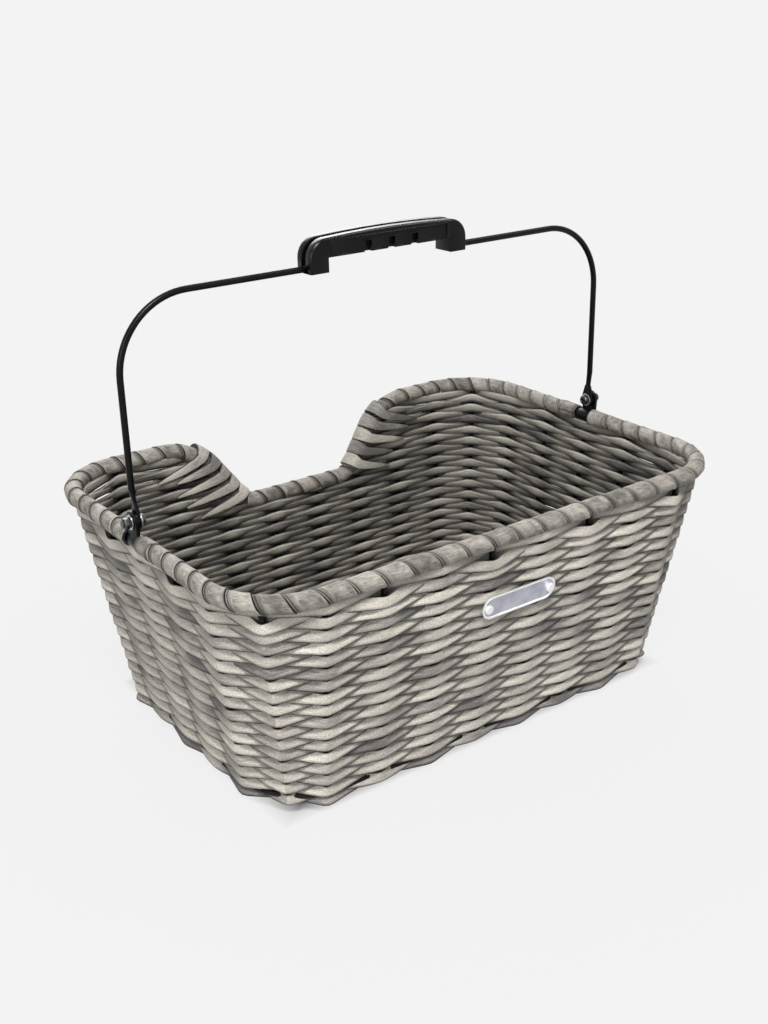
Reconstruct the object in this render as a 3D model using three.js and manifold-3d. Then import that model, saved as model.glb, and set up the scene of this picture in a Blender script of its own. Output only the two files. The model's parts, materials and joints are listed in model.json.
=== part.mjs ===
// Rear bicycle basket: strands woven round a welded steel frame, with a swing-over handle,
// a saddle notch in the far rim and a plate that screws it to a rack.
// Millimetres, +Z up. +X runs along the basket, -Y is the side with the badge.
// The origin is under the middle of the basket, on the underside of the rack plate.
import * as THREE from "three";
import { LoftGeometry } from "three/addons/geometries/LoftGeometry.js";
import { mergeVertices, toCreasedNormals } from "three/addons/utils/BufferGeometryUtils.js";
import Module from "manifold-3d";

const wasm = await Module();
wasm.setup();

// Air between two pieces that touch, and how far a cutter runs past what it cuts
const clearance = 0.3;
const cutOverrun = 1;

// Frame outline at the middle of the weave: at the rim, and at the foot of the wall
const rimLength = 420;
const rimWidth = 296.5;
const rimCornerRadius = 52;
const footLength = 366.6;
const footWidth = 248.2;
const footCornerRadius = 52;
const wallHeight = 166.7;

// Saddle notch in the far rim
const notchCentreX = 4;
const notchDepth = 56.5;
const notchHalfWidth = 74.5;
const notchSlopeDegrees = 54;
const notchTopRadius = 50;
const notchBottomRadius = 28;

// Weave: its mean thickness, how far it sways out and in at the stakes, and its rows of strands
const weaveThickness = 8.6;
const weaveSway = 1;
const rowPitch = 4.97;
const firstRowHeight = 5.9;
const firstReliefRow = 3;
const lastReliefRow = 29;
const floorCover = 1.4;
const floorRise = 0.7;

// Steel wires of the frame
const rimRingDiameter = 7.6;
const footRingDiameter = 5;
const stakeDiameter = 4.2;
const gridWireDiameter = 4.2;
const weldDepth = 0.4;
const ringSeam = 0.4;
const stakesPerLongSide = 8;
const stakesPerShortSide = 5;
const longSideFootSpacing = 42;
const shortSideFootSpacing = 40;

// Strand wound round the rim
const wrapDiameter = 12.6;

// Handle hinges, one at the middle of each short side
const pivotHeight = 14.9;
const saddleLength = 20;
const tabThickness = 2.5;
const tabRadius = 7.5;
const tabOffset = 1;
const lugThickness = 2.5;
const lugRadius = 6;
const boltDiameter = 5;
const boltHeadDiameter = 9;
const boltHeadThickness = 2.8;
const boltHeadFaceDiameter = 7.2;
const boltHeadBevelDepth = 1;
const boltSocketDiameter = 4;
const boltSocketDepth = 1.3;
const boltTip = 1.2;
const washerDiameter = 10.4;
const washerThickness = 1;
const nutDiameter = 9.2;
const nutThickness = 4;

// Handle wire
const handleWireDiameter = 4.6;
const handleHeight = 149.1;
const handleCornerRadius = 52;
const handleOffset = 0.8;
const wireFootAbovePivot = 9.5;
const lugNeckAbovePivot = 14;

// Moulded grip on the handle wire
const gripLength = 136.8;
const gripThickness = 18;
const gripRise = 20.6;
const gripCrown = 1.8;
const gripCornerRadius = 14;
const gripLegWidth = 15;
const gripLegDrop = 3;
const gripUnderside = 7.2;
const gripWireRise = 13;
const gripWireInset = 2;
const gripWireBendRun = 7;
const gripWireBendRadius = 6;
const gripWireBendSteps = 3;
const fingerNotchWidth = 6;
const fingerNotchTop = 15;
const fingerNotchDepth = 3.4;
const fingerNotchSpacing = 20.4;
const fingerNotchCount = 3;

// Badge on the near wall
const badgeLength = 66.4;
const badgeHeight = 17.6;
const badgeThickness = 1.4;
const badgeCentreX = 2.2;
const badgeCentreHeight = 116;
const backingHeight = 12;
const backingThickness = 1;
const rivetSpacing = 56.2;
const rivetShankDiameter = 2.6;
const rivetHeadDiameter = 7;
const rivetHeadHeight = 1.8;
const rivetHeadSteps = 3;
const rivetTailDiameter = 4.8;
const rivetTailHeight = 1.2;

// Rack plate under the floor, and the strips that clamp the floor to it
const rackPlateLength = 190;
const rackPlateWidth = 150;
const rackPlateThickness = 8.3;
const rackPlateCornerRadius = 14;
const rackScrewSpacingX = 150;
const rackScrewSpacingY = 108;
const rackScrewDiameter = 5;
const rackScrewHeadDiameter = 9.2;
const rackScrewHeadHeight = 2.8;
const rackScrewFaceDiameter = 6.9;
const rackScrewBevelDepth = 1.1;
const rackScrewSocketDiameter = 3.2;
const rackScrewSocketDepth = 1.4;
const rackScrewTipCover = 1;
const clampStripWidth = 20;
const clampStripOverhang = 11;
const clampStripThickness = 2;
const clampStripCornerRadius = 5;
const clampStripCornerSteps = 4;

// How finely round things are cut
const wireSides = 8;
const tunnelSides = 6;
const roundSides = 12;
const curveSteps = 6;
const cornerSteps = 5;
const cornerSpanSteps = 2;
const notchBottomSteps = 3;
const notchTopSteps = 4;
const notchPasses = 8;
const slopeStep = 0.004;
const facetAngle = Math.PI / 5;

// Heights that follow from the sizes above, counted from the foot of the wall
const longWireHeight = floorRise + floorCover + gridWireDiameter / 2;
const crossWireHeight = longWireHeight + gridWireDiameter - weldDepth;
const footRingHeight = (longWireHeight + crossWireHeight) / 2;
const floorTop = crossWireHeight + gridWireDiameter / 2 + floorCover;
const rackPlateTop = floorRise - clearance;
const footLevel = rackPlateThickness - rackPlateTop;

// Finishes
const finishes = {
  strand: { color: 0xa9a297, roughness: 0.72, metalness: 0 },
  wrap: { color: 0xa59d92, roughness: 0.7, metalness: 0 },
  blackSteel: { color: 0x17171a, roughness: 0.42, metalness: 0.5 },
  blackPlastic: { color: 0x1c1c1f, roughness: 0.5, metalness: 0 },
  zincSteel: { color: 0xb9bbbd, roughness: 0.32, metalness: 0.9 },
  badgeMetal: { color: 0xc2c3c8, roughness: 0.28, metalness: 0.9 },
};

const basket = new THREE.Group();

// Meshes and solids

function solidOf(geometry) {
  const bare = new THREE.BufferGeometry();
  bare.setAttribute("position", geometry.getAttribute("position"));
  bare.setIndex(geometry.getIndex());
  const merged = mergeVertices(bare, 1e-4);
  return new wasm.Manifold(
    new wasm.Mesh({
      numProp: 3,
      vertProperties: merged.attributes.position.array,
      triVerts: merged.index.array,
    }),
  );
}

function geometryOf(solid) {
  const mesh = solid.getMesh();
  const geometry = new THREE.BufferGeometry();
  geometry.setAttribute("position", new THREE.BufferAttribute(mesh.vertProperties, 3));
  geometry.setIndex(new THREE.BufferAttribute(mesh.triVerts, 1));
  return toCreasedNormals(geometry, facetAngle);
}

function joined(...geometries) {
  return geometryOf(geometries.map(solidOf).reduce((whole, piece) => whole.add(piece)));
}

function cut(geometry, cutters) {
  const whole = solidOf(geometry);
  return geometryOf(cutters.map(solidOf).reduce((rest, cutter) => rest.subtract(cutter), whole));
}

function extruded(shape, depth, curveSegments = curveSteps) {
  return new THREE.ExtrudeGeometry(shape, { depth, curveSegments, bevelEnabled: false });
}

function addMesh(name, geometry, finish, parent = basket) {
  const mesh = new THREE.Mesh(geometry, new THREE.MeshStandardMaterial(finish));
  mesh.name = name;
  parent.add(mesh);
  return mesh;
}

// The radius of a cutter with flat sides that clears a round piece everywhere.
function clearRadius(diameter, sides) {
  return (diameter / 2 + clearance) / Math.cos(Math.PI / sides);
}

// Outlines and the leaning wall

const rimOutline = { length: rimLength, width: rimWidth, radius: rimCornerRadius };
const footOutline = { length: footLength, width: footWidth, radius: footCornerRadius };

// A point on a rounded rectangle, walked anticlockwise from the left end of the near side.
// Stations 0 to 8 go once round: a side from each even number, a corner from each odd one.
function outlinePoint(outline, station) {
  const side = Math.floor(station / 2);
  const step = station - 2 * side;
  const runsAlongX = side % 2 === 0;
  const halfSpan = (runsAlongX ? outline.length : outline.width) / 2;
  const halfDepth = (runsAlongX ? outline.width : outline.length) / 2;
  const halfStraight = halfSpan - outline.radius;
  const heading = (side * Math.PI) / 2;
  const along = halfStraight * (2 * Math.min(step, 1) - 1);
  const normalAngle = heading - Math.PI / 2 + (Math.max(step - 1, 0) * Math.PI) / 2;
  const normal = new THREE.Vector2(Math.cos(normalAngle), Math.sin(normalAngle));
  const sideNormal = new THREE.Vector2(Math.sin(heading), -Math.cos(heading));
  const point = new THREE.Vector2(Math.cos(heading), Math.sin(heading))
    .multiplyScalar(along)
    .addScaledVector(sideNormal, halfDepth - outline.radius)
    .addScaledVector(normal, outline.radius);
  return { point, normal };
}

// A point in the wall at a height above its foot, moved outwards from the middle of the weave.
function wallPoint(station, height, outwards = 0) {
  const foot = outlinePoint(footOutline, station);
  const rim = outlinePoint(rimOutline, station);
  const flat = foot.point.lerp(rim.point, height / wallHeight).addScaledVector(rim.normal, outwards);
  return new THREE.Vector3(flat.x, flat.y, footLevel + height);
}

// Where the notch's arcs and slopes meet, as distances from its middle.
function notchCurve() {
  const slope = THREE.MathUtils.degToRad(notchSlopeDegrees);
  const bottomArcRise = notchBottomRadius * (1 - Math.cos(slope));
  const topArcDrop = notchTopRadius * (1 - Math.cos(slope));
  const slopeStart = notchHalfWidth - (notchDepth / 2 - bottomArcRise) / Math.tan(slope);
  const slopeEnd = notchHalfWidth + (notchDepth / 2 - topArcDrop) / Math.tan(slope);
  const bottomArcStart = slopeStart - notchBottomRadius * Math.sin(slope);
  const topArcEnd = slopeEnd + notchTopRadius * Math.sin(slope);
  return { slope, bottomArcStart, slopeStart, slopeEnd, topArcEnd };
}

// How far the rim dips at a distance along the far side from the middle of the notch.
function notchDip(distance) {
  const { slope, bottomArcStart, slopeStart, slopeEnd, topArcEnd } = notchCurve();
  const away = Math.abs(distance);
  const onBottomArc = Math.sqrt(Math.max(notchBottomRadius ** 2 - (away - bottomArcStart) ** 2, 0));
  const onTopArc = Math.sqrt(Math.max(notchTopRadius ** 2 - (topArcEnd - away) ** 2, 0));
  if (away <= bottomArcStart) return notchDepth;
  if (away <= slopeStart) return notchDepth - notchBottomRadius + onBottomArc;
  if (away <= slopeEnd) return notchDepth / 2 - (away - notchHalfWidth) * Math.tan(slope);
  if (away <= topArcEnd) return notchTopRadius - onTopArc;
  return 0;
}

// The rim's height at a station. On the far side the wall narrows as the rim dips,
// so the dip is found again a few times at the place that it leads to.
function rimHeight(station) {
  const onFarSide = station % 8 > 4 && station % 8 < 5;
  let height = wallHeight;
  for (let pass = 0; onFarSide && pass < notchPasses; pass += 1) {
    height = wallHeight - notchDip(wallPoint(station, height).x - notchCentreX);
  }
  return height;
}

function rimPoint(station) {
  return wallPoint(station, rimHeight(station));
}

// Directions at a place on the rim: along it, down the wall square to it, and out of the wall.
function rimFrame(station) {
  const point = rimPoint(station);
  const along = rimPoint(station + slopeStep).sub(rimPoint(station - slopeStep)).normalize();
  const down = wallPoint(station, 0).sub(wallPoint(station, wallHeight));
  down.addScaledVector(along, -down.dot(along)).normalize();
  const out = new THREE.Vector3().crossVectors(down, along);
  return { point, along, down, out };
}

// Numbers spread evenly from one to another, both ends included.
function spread(first, last, steps) {
  return Array.from({ length: steps + 1 }, (_, step) => first + ((last - first) * step) / steps);
}

// Stations on the far side where the rim bends into and out of the notch.
function notchStations() {
  const { bottomArcStart, slopeStart, slopeEnd, topArcEnd } = notchCurve();
  const distances = [
    ...spread(bottomArcStart, slopeStart, notchBottomSteps),
    ...spread(slopeEnd, topArcEnd, notchTopSteps),
  ];
  return distances.flatMap((distance) => {
    const sideEnd = wallPoint(4, wallHeight - notchDip(distance)).x;
    return [-distance, distance].map((offset) => 4.5 - (notchCentreX + offset) / (2 * sideEnd));
  });
}

// All stations from one to another: the ends of the sides, steps round each corner, and extras.
function stationsBetween(first, last, extras = []) {
  const stations = [first, last];
  for (let start = 0; start < last; start += 2) {
    stations.push(start, ...spread(start + 1, start + 2, cornerSteps));
  }
  stations.push(...extras, ...extras.map((station) => station + 8));
  const inOrder = stations.filter((station) => station >= first && station <= last);
  inOrder.sort((a, b) => a - b);
  return inOrder.filter((station, index) => index === 0 || station - inOrder[index - 1] > 1e-6);
}

function rimPoints(first, last) {
  return stationsBetween(first, last, notchStations()).map(rimPoint);
}

// Wires

// A path that steps through given points, one per step.
class PointPath extends THREE.Curve {
  constructor(points) {
    super();
    this.points = points;
  }
  getPoint(t, target = new THREE.Vector3()) {
    const last = this.points.length - 1;
    const place = THREE.MathUtils.clamp(t, 0, 1) * last;
    const index = Math.min(Math.floor(place), last - 1);
    return target.lerpVectors(this.points[index], this.points[index + 1], place - index);
  }
  getUtoTmapping(u) {
    return u;
  }
}

function circleShape(radius, sides) {
  const shape = new THREE.Shape();
  for (let side = 0; side < sides; side += 1) {
    const angle = (2 * Math.PI * side) / sides;
    const corner = [radius * Math.cos(angle), radius * Math.sin(angle)];
    if (side === 0) shape.moveTo(...corner);
    else shape.lineTo(...corner);
  }
  shape.closePath();
  return shape;
}

function tube(points, radius, sides = wireSides) {
  return new THREE.ExtrudeGeometry(circleShape(radius, sides), {
    steps: points.length - 1,
    extrudePath: new PointPath(points),
    bevelEnabled: false,
  });
}

// A straight rod from one point to another.
function rod(from, to, radius, sides = wireSides) {
  const along = new THREE.Vector3().subVectors(to, from);
  const geometry = new THREE.CylinderGeometry(radius, radius, along.length(), sides);
  const upright = new THREE.Vector3(0, 1, 0);
  const turn = new THREE.Quaternion().setFromUnitVectors(upright, along.clone().normalize());
  geometry.applyQuaternion(turn);
  geometry.translate(...new THREE.Vector3().addVectors(from, to).multiplyScalar(0.5).toArray());
  return geometry;
}

// A wire bent once round the basket, with its two ends at a butt weld on the near side.
function ringGeometry(points, diameter) {
  points[points.length - 1].x -= ringSeam;
  return tube(points, diameter / 2);
}

// Upright stakes. They stand closer together at the foot than at the rim.

const sideNames = ["near", "right", "far", "left"];

// The station at the foot of a side at a distance from its middle, past its straight run too.
function footStation(side, distance) {
  const { length, width, radius } = footOutline;
  const halfStraight = (side % 2 === 0 ? length : width) / 2 - radius;
  const straight = THREE.MathUtils.clamp(distance, -halfStraight, halfStraight);
  const turn = Math.asin((distance - straight) / radius) / (Math.PI / 2);
  return side * 2 + 0.5 + straight / (2 * halfStraight) + turn;
}

// The stakes of one side, each with its station at the foot and its station at the rim.
function sideStakes(side) {
  const isLong = side % 2 === 0;
  const count = isLong ? stakesPerLongSide : stakesPerShortSide;
  const spacing = isLong ? longSideFootSpacing : shortSideFootSpacing;
  return Array.from({ length: count }, (_, number) => ({
    name: `stake_${sideNames[side]}_${number + 1}`,
    foot: footStation(side, (number - (count - 1) / 2) * spacing),
    rim: side * 2 + number / (count - 1),
  }));
}

function stakePlaces() {
  return sideNames.flatMap((_, side) => {
    const corner = side * 2 + 1.5;
    return [...sideStakes(side), { name: `stake_corner_${side + 1}`, foot: corner, rim: corner }];
  });
}

function stakePoint({ foot, rim }, height) {
  return wallPoint(foot, 0).lerp(wallPoint(rim, wallHeight), height / wallHeight);
}

// The station where a stake meets the rim. Where the rim dips, the stake is met lower down,
// so the place is found again a few times.
function stakeRimStation(stake) {
  const onFarSide = stake.rim > 4 && stake.rim < 5;
  let station = stake.rim;
  for (let pass = 0; onFarSide && pass < notchPasses; pass += 1) {
    const height = rimHeight(station);
    station = 4.5 - stakePoint(stake, height).x / (2 * wallPoint(4, height).x);
  }
  return station;
}

// How high a stake can reach under the rim ring, which may slope across the stake's width.
function stakeTopHeight(station) {
  const halfWidth = stakeDiameter / 2 / (rimLength - 2 * rimCornerRadius);
  const heights = [station - halfWidth, station, station + halfWidth].map((place) => {
    const flatness = Math.hypot(rimFrame(place).along.x, rimFrame(place).along.y);
    return rimHeight(place) - (rimRingDiameter / 2 + clearance) / flatness;
  });
  return Math.min(...heights);
}

function stakeGeometry(stake) {
  const bottom = stakePoint(stake, footRingHeight + footRingDiameter / 2 + clearance);
  const top = stakePoint(stake, stakeTopHeight(stakeRimStation(stake)));
  return rod(bottom, top, stakeDiameter / 2);
}

// A rod that clears a stake, from inside the foot ring's tunnel to the middle of the rim.
function stakeCutter(stake) {
  const from = stakePoint(stake, footRingHeight);
  const to = stakePoint(stake, rimHeight(stakeRimStation(stake)));
  return rod(from, to, clearRadius(stakeDiameter, tunnelSides), tunnelSides);
}

// Places along the weave

// A point in the wall at a place counted in stakes, from the first near stake once round.
// Upright lines of the wall lean with the stakes beside them.
function weavePoint(place, height, outwards) {
  const stakes = stakePlaces();
  const number = Math.floor(place);
  const stake = stakes[number % stakes.length];
  const next = stakes[(number + 1) % stakes.length];
  const between = (from, to) => from + ((to < from ? to + 8 : to) - from) * (place - number);
  const foot = wallPoint(between(stake.foot, next.foot), 0, outwards);
  const rim = wallPoint(between(stake.rim, next.rim), wallHeight, outwards);
  return foot.lerp(rim, height / wallHeight);
}

// Places of the wall's sections: one at each stake, and steps between those beside a corner.
function weavePlaces() {
  return stakePlaces().flatMap(({ rim }, number) => {
    const besideCorner = rim % 2 >= 1;
    return spread(number, number + 1, besideCorner ? cornerSpanSteps : 1).slice(0, -1);
  });
}

// The foot ring's line, from the middle of the near side once round.
function footRingPoints() {
  const count = stakePlaces().length;
  const seam = (stakesPerLongSide - 1) / 2;
  const places = weavePlaces().map((place) => (place < seam ? place + count : place));
  places.sort((a, b) => a - b);
  return [seam, ...places, seam + count].map((place) => weavePoint(place, footRingHeight, 0));
}

// Floor grid: one wire from side to side at each stake of the long sides,
// and one from end to end at each stake of the short sides

// The end of a grid wire at the inside of the foot ring, which may cross its line aslant.
function gridWireEnd(station, direction, radius, endGap) {
  const { normal } = outlinePoint(footOutline, station);
  const square = normal.x * direction.x + normal.y * direction.y;
  const reach = footRingDiameter / 2 + endGap + radius * Math.sqrt(1 - square ** 2);
  return wallPoint(station, footRingHeight).addScaledVector(direction, -reach / square);
}

function gridWires(radius, sides, endGap) {
  const wire = (station, direction, height) => {
    const end = gridWireEnd(station, direction, radius, endGap).setZ(footLevel + height);
    const otherEnd = end.clone().addScaledVector(direction, -2 * end.dot(direction));
    return rod(otherEnd, end, radius, sides);
  };
  const outNear = new THREE.Vector3(0, -1, 0);
  const outRight = new THREE.Vector3(1, 0, 0);
  return [
    ...sideStakes(0).map(({ foot }) => wire(foot, outNear, crossWireHeight)),
    ...sideStakes(1).map(({ foot }) => wire(foot, outRight, longWireHeight)),
  ];
}

function buildFrame() {
  const grid = gridWires(gridWireDiameter / 2, wireSides, clearance);
  addMesh("rim_ring", ringGeometry(rimPoints(0.5, 8.5), rimRingDiameter), finishes.blackSteel);
  addMesh("foot_ring", ringGeometry(footRingPoints(), footRingDiameter), finishes.blackSteel);
  addMesh("floor_grid", joined(...grid), finishes.blackSteel);
  for (const stake of stakePlaces()) {
    addMesh(stake.name, stakeGeometry(stake), finishes.blackSteel);
  }
}

// Woven wall and floor, with room inside for the wires

// How far a row of the weave sways outwards at a place: fully where its strand passes outside
// a stake, and as far inwards where it passes inside the next one.
function rowSway(place, row) {
  const phase = (place + row + 1) % 2;
  return weaveSway * (2 * Math.abs(phase - 1) - 1);
}

// A cut through the wall, as high as the middle of the rim. Near its foot a groove that opens
// inwards holds the foot ring and the ends of the grid wires.
function wallSection(place) {
  const half = weaveThickness / 2;
  const grooveBottom = longWireHeight - gridWireDiameter / 2 - clearance;
  const grooveTop = crossWireHeight + gridWireDiameter / 2 + clearance;
  const grooveDepth = footRingDiameter / 2 + clearance;
  const rows = spread(firstReliefRow, lastReliefRow, lastReliefRow - firstReliefRow);
  const middles = rows.map((row) => [firstRowHeight + row * rowPitch, rowSway(place, row)]);
  const innerFace = middles.map(([height, sway]) => [height, sway - half]);
  const outerFace = middles.map(([height, sway]) => [height, sway + half]);
  const profile = [
    [0, -half],
    [grooveBottom, -half],
    [grooveBottom, grooveDepth],
    [grooveTop, grooveDepth],
    [grooveTop, -half],
    ...innerFace,
    [wallHeight, -half],
    [wallHeight, half],
    ...outerFace.reverse(),
    [0, half],
  ];
  return profile.map(([height, outwards]) => weavePoint(place, height, outwards));
}

function wallBody() {
  const sections = weavePlaces().map(wallSection);
  return new LoftGeometry([...sections, sections[0]]);
}

// The room that the wound rim takes from the top of the wall, with the notch above it.
function rimCutters() {
  const reach = clearRadius(wrapDiameter, tunnelSides);
  const notchLine = stationsBetween(4, 5, notchStations()).map(rimPoint);
  const above = footLevel + wallHeight + cutOverrun;
  const outline = new THREE.Shape();
  outline.moveTo(notchLine[0].x, above);
  notchLine.forEach(({ x, z }) => outline.lineTo(x, z));
  outline.lineTo(notchLine[notchLine.length - 1].x, above);
  outline.closePath();
  const notch = slabAcrossY(outline, rimWidth).translate(0, rimWidth / 2, 0);
  const runs = [rimPoints(0.5, 4.6), rimPoints(4.4, 8.6)];
  return [...runs.map((points) => tube(points, reach, tunnelSides)), notch];
}

// A frame of axes on the near wall's outer face: local +Z points out of the wall, +Y up it.
function badgeFrame() {
  const lean = Math.atan2((rimWidth - footWidth) / 2, wallHeight);
  const station = 0.5;
  const face = wallPoint(station, badgeCentreHeight, weaveThickness / 2 + weaveSway);
  const frame = new THREE.Group();
  frame.position.set(badgeCentreX, face.y, face.z);
  frame.rotation.x = Math.PI / 2 + lean;
  frame.updateMatrix();
  return { frame, wallDepth: (weaveThickness + 2 * weaveSway) * Math.cos(lean) };
}

function rivetCutters() {
  const { frame, wallDepth } = badgeFrame();
  const radius = clearRadius(rivetShankDiameter, roundSides);
  return [-1, 1].map((side) => {
    const length = 2 * (wallDepth + cutOverrun);
    const hole = new THREE.CylinderGeometry(radius, radius, length, roundSides);
    hole.rotateX(Math.PI / 2);
    hole.translate((side * rivetSpacing) / 2, 0, 0);
    return hole.applyMatrix4(frame.matrix);
  });
}

function buildWall() {
  const cutters = [...stakePlaces().map(stakeCutter), ...rimCutters(), ...rivetCutters()];
  addMesh("woven_wall", cut(wallBody(), cutters), finishes.strand);
}

function floorSection(height) {
  const inset = weaveThickness / 2 + clearance;
  return weavePlaces().map((place) => weavePoint(place, height, -inset));
}

function rackScrewPlaces() {
  const places = [];
  for (const x of [-rackScrewSpacingX / 2, rackScrewSpacingX / 2]) {
    for (const y of [-rackScrewSpacingY / 2, rackScrewSpacingY / 2]) places.push(new THREE.Vector2(x, y));
  }
  return places;
}

function screwHoleCutters() {
  const radius = clearRadius(rackScrewDiameter, roundSides);
  return rackScrewPlaces().map(({ x, y }) => {
    const low = new THREE.Vector3(x, y, rackScrewTipCover - clearance);
    const high = new THREE.Vector3(x, y, footLevel + floorTop + cutOverrun);
    return rod(low, high, radius, roundSides);
  });
}

function buildFloor() {
  const sections = [floorSection(floorRise), floorSection(floorTop)];
  const slab = new LoftGeometry(sections, { capStart: true, capEnd: true });
  const grid = gridWires(clearRadius(gridWireDiameter, tunnelSides), tunnelSides, -weaveThickness);
  addMesh("woven_floor", cut(slab, [...grid, ...screwHoleCutters()]), finishes.strand);
}

// Strand wound round the rim: one run round the near side and one round the far side,
// each stopping at the hinge saddles

function wrapRun(first, last) {
  const shareOfSide = (length) => length / (rimWidth - 2 * rimCornerRadius);
  const inset = shareOfSide(saddleLength / 2 + clearance);
  const coreInset = inset - shareOfSide(cutOverrun);
  const skin = tube(rimPoints(first + inset, last - inset), wrapDiameter / 2);
  const corePoints = rimPoints(first + coreInset, last - coreInset);
  const core = tube(corePoints, clearRadius(rimRingDiameter, tunnelSides), tunnelSides);
  const stakes = stakePlaces().filter(({ rim }) => (rim + 8 - first) % 8 < last - first);
  return cut(skin, [core, ...stakes.map(stakeCutter)]);
}

function buildWrap() {
  const rightHinge = 2.5;
  const leftHinge = 6.5;
  addMesh("rim_wrap_far", wrapRun(rightHinge, leftHinge), finishes.wrap);
  addMesh("rim_wrap_near", wrapRun(leftHinge, rightHinge + 8), finishes.wrap);
}

// Hinges. Each is made for the right end in its own frame, with the origin at the middle of
// the rim ring and +X outwards, and turned half round for the left end.

const tabInner = tabOffset;
const tabOuter = tabInner + tabThickness;
const lugOuter = tabInner - clearance;
const lugInner = lugOuter - lugThickness;
const innerWasherInner = lugInner - clearance - washerThickness;
const boltHeadInner = innerWasherInner - clearance - boltHeadThickness;
const outerWasherInner = tabOuter + clearance;
const nutInner = outerWasherInner + washerThickness + clearance;
const boltEnd = nutInner + nutThickness + boltTip;

// Turns a shape drawn in Y and Z, and extruded, to lie across X.
const acrossX = new THREE.Matrix4().makeBasis(
  new THREE.Vector3(0, 1, 0),
  new THREE.Vector3(0, 0, 1),
  new THREE.Vector3(1, 0, 0),
);

function boltHole(from, to) {
  const pivot = new THREE.Vector3(0, 0, pivotHeight);
  const start = pivot.clone().setX(from);
  const end = pivot.clone().setX(to);
  return rod(start, end, clearRadius(boltDiameter, roundSides), roundSides);
}

function saddleGeometry() {
  const inner = clearRadius(rimRingDiameter, 2 * roundSides);
  const outer = wrapDiameter / 2;
  const arch = new THREE.Shape();
  arch.absarc(0, 0, outer, 0, Math.PI);
  arch.lineTo(-inner, 0);
  arch.absarc(0, 0, inner, Math.PI, 0, true);
  arch.closePath();
  return extruded(arch, saddleLength).rotateX(Math.PI / 2).translate(0, saddleLength / 2, 0);
}

function tabGeometry() {
  const tabFoot = (rimRingDiameter + wrapDiameter) / 4 - clearance;
  const outline = new THREE.Shape();
  outline.moveTo(-tabRadius, tabFoot);
  outline.lineTo(tabRadius, tabFoot);
  outline.lineTo(tabRadius, pivotHeight);
  outline.absarc(0, pivotHeight, tabRadius, 0, Math.PI);
  outline.closePath();
  return extruded(outline, tabThickness).applyMatrix4(acrossX).translate(tabInner, 0, 0);
}

function bracketGeometry() {
  const whole = joined(saddleGeometry(), tabGeometry());
  return cut(whole, [boltHole(tabInner - cutOverrun, tabOuter + cutOverrun)]);
}

// Lathed pieces are turned from +Y to lie along +X at the pivot.
function lathedAtPivot(profile, start) {
  const points = profile.map(([radius, along]) => new THREE.Vector2(radius, along));
  return new THREE.LatheGeometry(points, roundSides).rotateZ(-Math.PI / 2).translate(start, 0, pivotHeight);
}

function boltGeometry() {
  const length = boltEnd - boltHeadInner;
  const profile = [
    [0, boltSocketDepth],
    [boltSocketDiameter / 2, boltSocketDepth],
    [boltSocketDiameter / 2, 0],
    [boltHeadFaceDiameter / 2, 0],
    [boltHeadDiameter / 2, boltHeadBevelDepth],
    [boltHeadDiameter / 2, boltHeadThickness],
    [boltDiameter / 2, boltHeadThickness],
    [boltDiameter / 2, length],
    [0, length],
  ];
  return lathedAtPivot(profile, boltHeadInner);
}

function washerGeometry(start) {
  const hole = clearRadius(boltDiameter, roundSides);
  const rim = washerDiameter / 2;
  const profile = [
    [hole, 0],
    [rim, 0],
    [rim, washerThickness],
    [hole, washerThickness],
    [hole, 0],
  ];
  return lathedAtPivot(profile, start);
}

function nutGeometry() {
  const nut = new THREE.CylinderGeometry(nutDiameter / 2, nutDiameter / 2, nutThickness, 6);
  nut.rotateZ(-Math.PI / 2).translate(nutInner + nutThickness / 2, 0, pivotHeight);
  return cut(nut, [boltHole(nutInner - cutOverrun, nutInner + nutThickness + cutOverrun)]);
}

function buildHinge(end, turn) {
  const hinge = new THREE.Group();
  hinge.rotation.z = turn;
  const reach = rimLength / 2;
  hinge.position.set(reach * Math.cos(turn), 0, footLevel + wallHeight);
  basket.add(hinge);
  addMesh(`hinge_bracket_${end}`, bracketGeometry(), finishes.blackSteel, hinge);
  addMesh(`pivot_bolt_${end}`, boltGeometry(), finishes.zincSteel, hinge);
  addMesh(`inner_washer_${end}`, washerGeometry(innerWasherInner), finishes.zincSteel, hinge);
  addMesh(`outer_washer_${end}`, washerGeometry(outerWasherInner), finishes.zincSteel, hinge);
  addMesh(`pivot_nut_${end}`, nutGeometry(), finishes.zincSteel, hinge);
}

// Handle, in its own frame: origin midway between the pivots, bar straight above

// Points along a bent wire: straight runs between corners, each corner rounded to its radius.
function bentWire(corners) {
  const points = [corners[0].at];
  for (let index = 1; index < corners.length - 1; index += 1) {
    const { at, radius, steps } = corners[index];
    const towardsLast = corners[index - 1].at.clone().sub(at).normalize();
    const towardsNext = corners[index + 1].at.clone().sub(at).normalize();
    const halfAngle = towardsLast.angleTo(towardsNext) / 2;
    const middle = towardsLast.clone().add(towardsNext).normalize();
    const centre = at.clone().addScaledVector(middle, radius / Math.sin(halfAngle));
    const start = at.clone().addScaledVector(towardsLast, radius / Math.tan(halfAngle)).sub(centre);
    const end = at.clone().addScaledVector(towardsNext, radius / Math.tan(halfAngle)).sub(centre);
    const axis = start.clone().cross(end).normalize();
    const sweep = start.angleTo(end);
    for (let step = 0; step <= steps; step += 1) {
      points.push(start.clone().applyAxisAngle(axis, (sweep * step) / steps).add(centre));
    }
  }
  points.push(corners[corners.length - 1].at);
  return points;
}

const handleHalfSpan = rimLength / 2 + handleOffset;
const wireInGrip = gripLength / 2 - gripWireInset;

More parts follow.
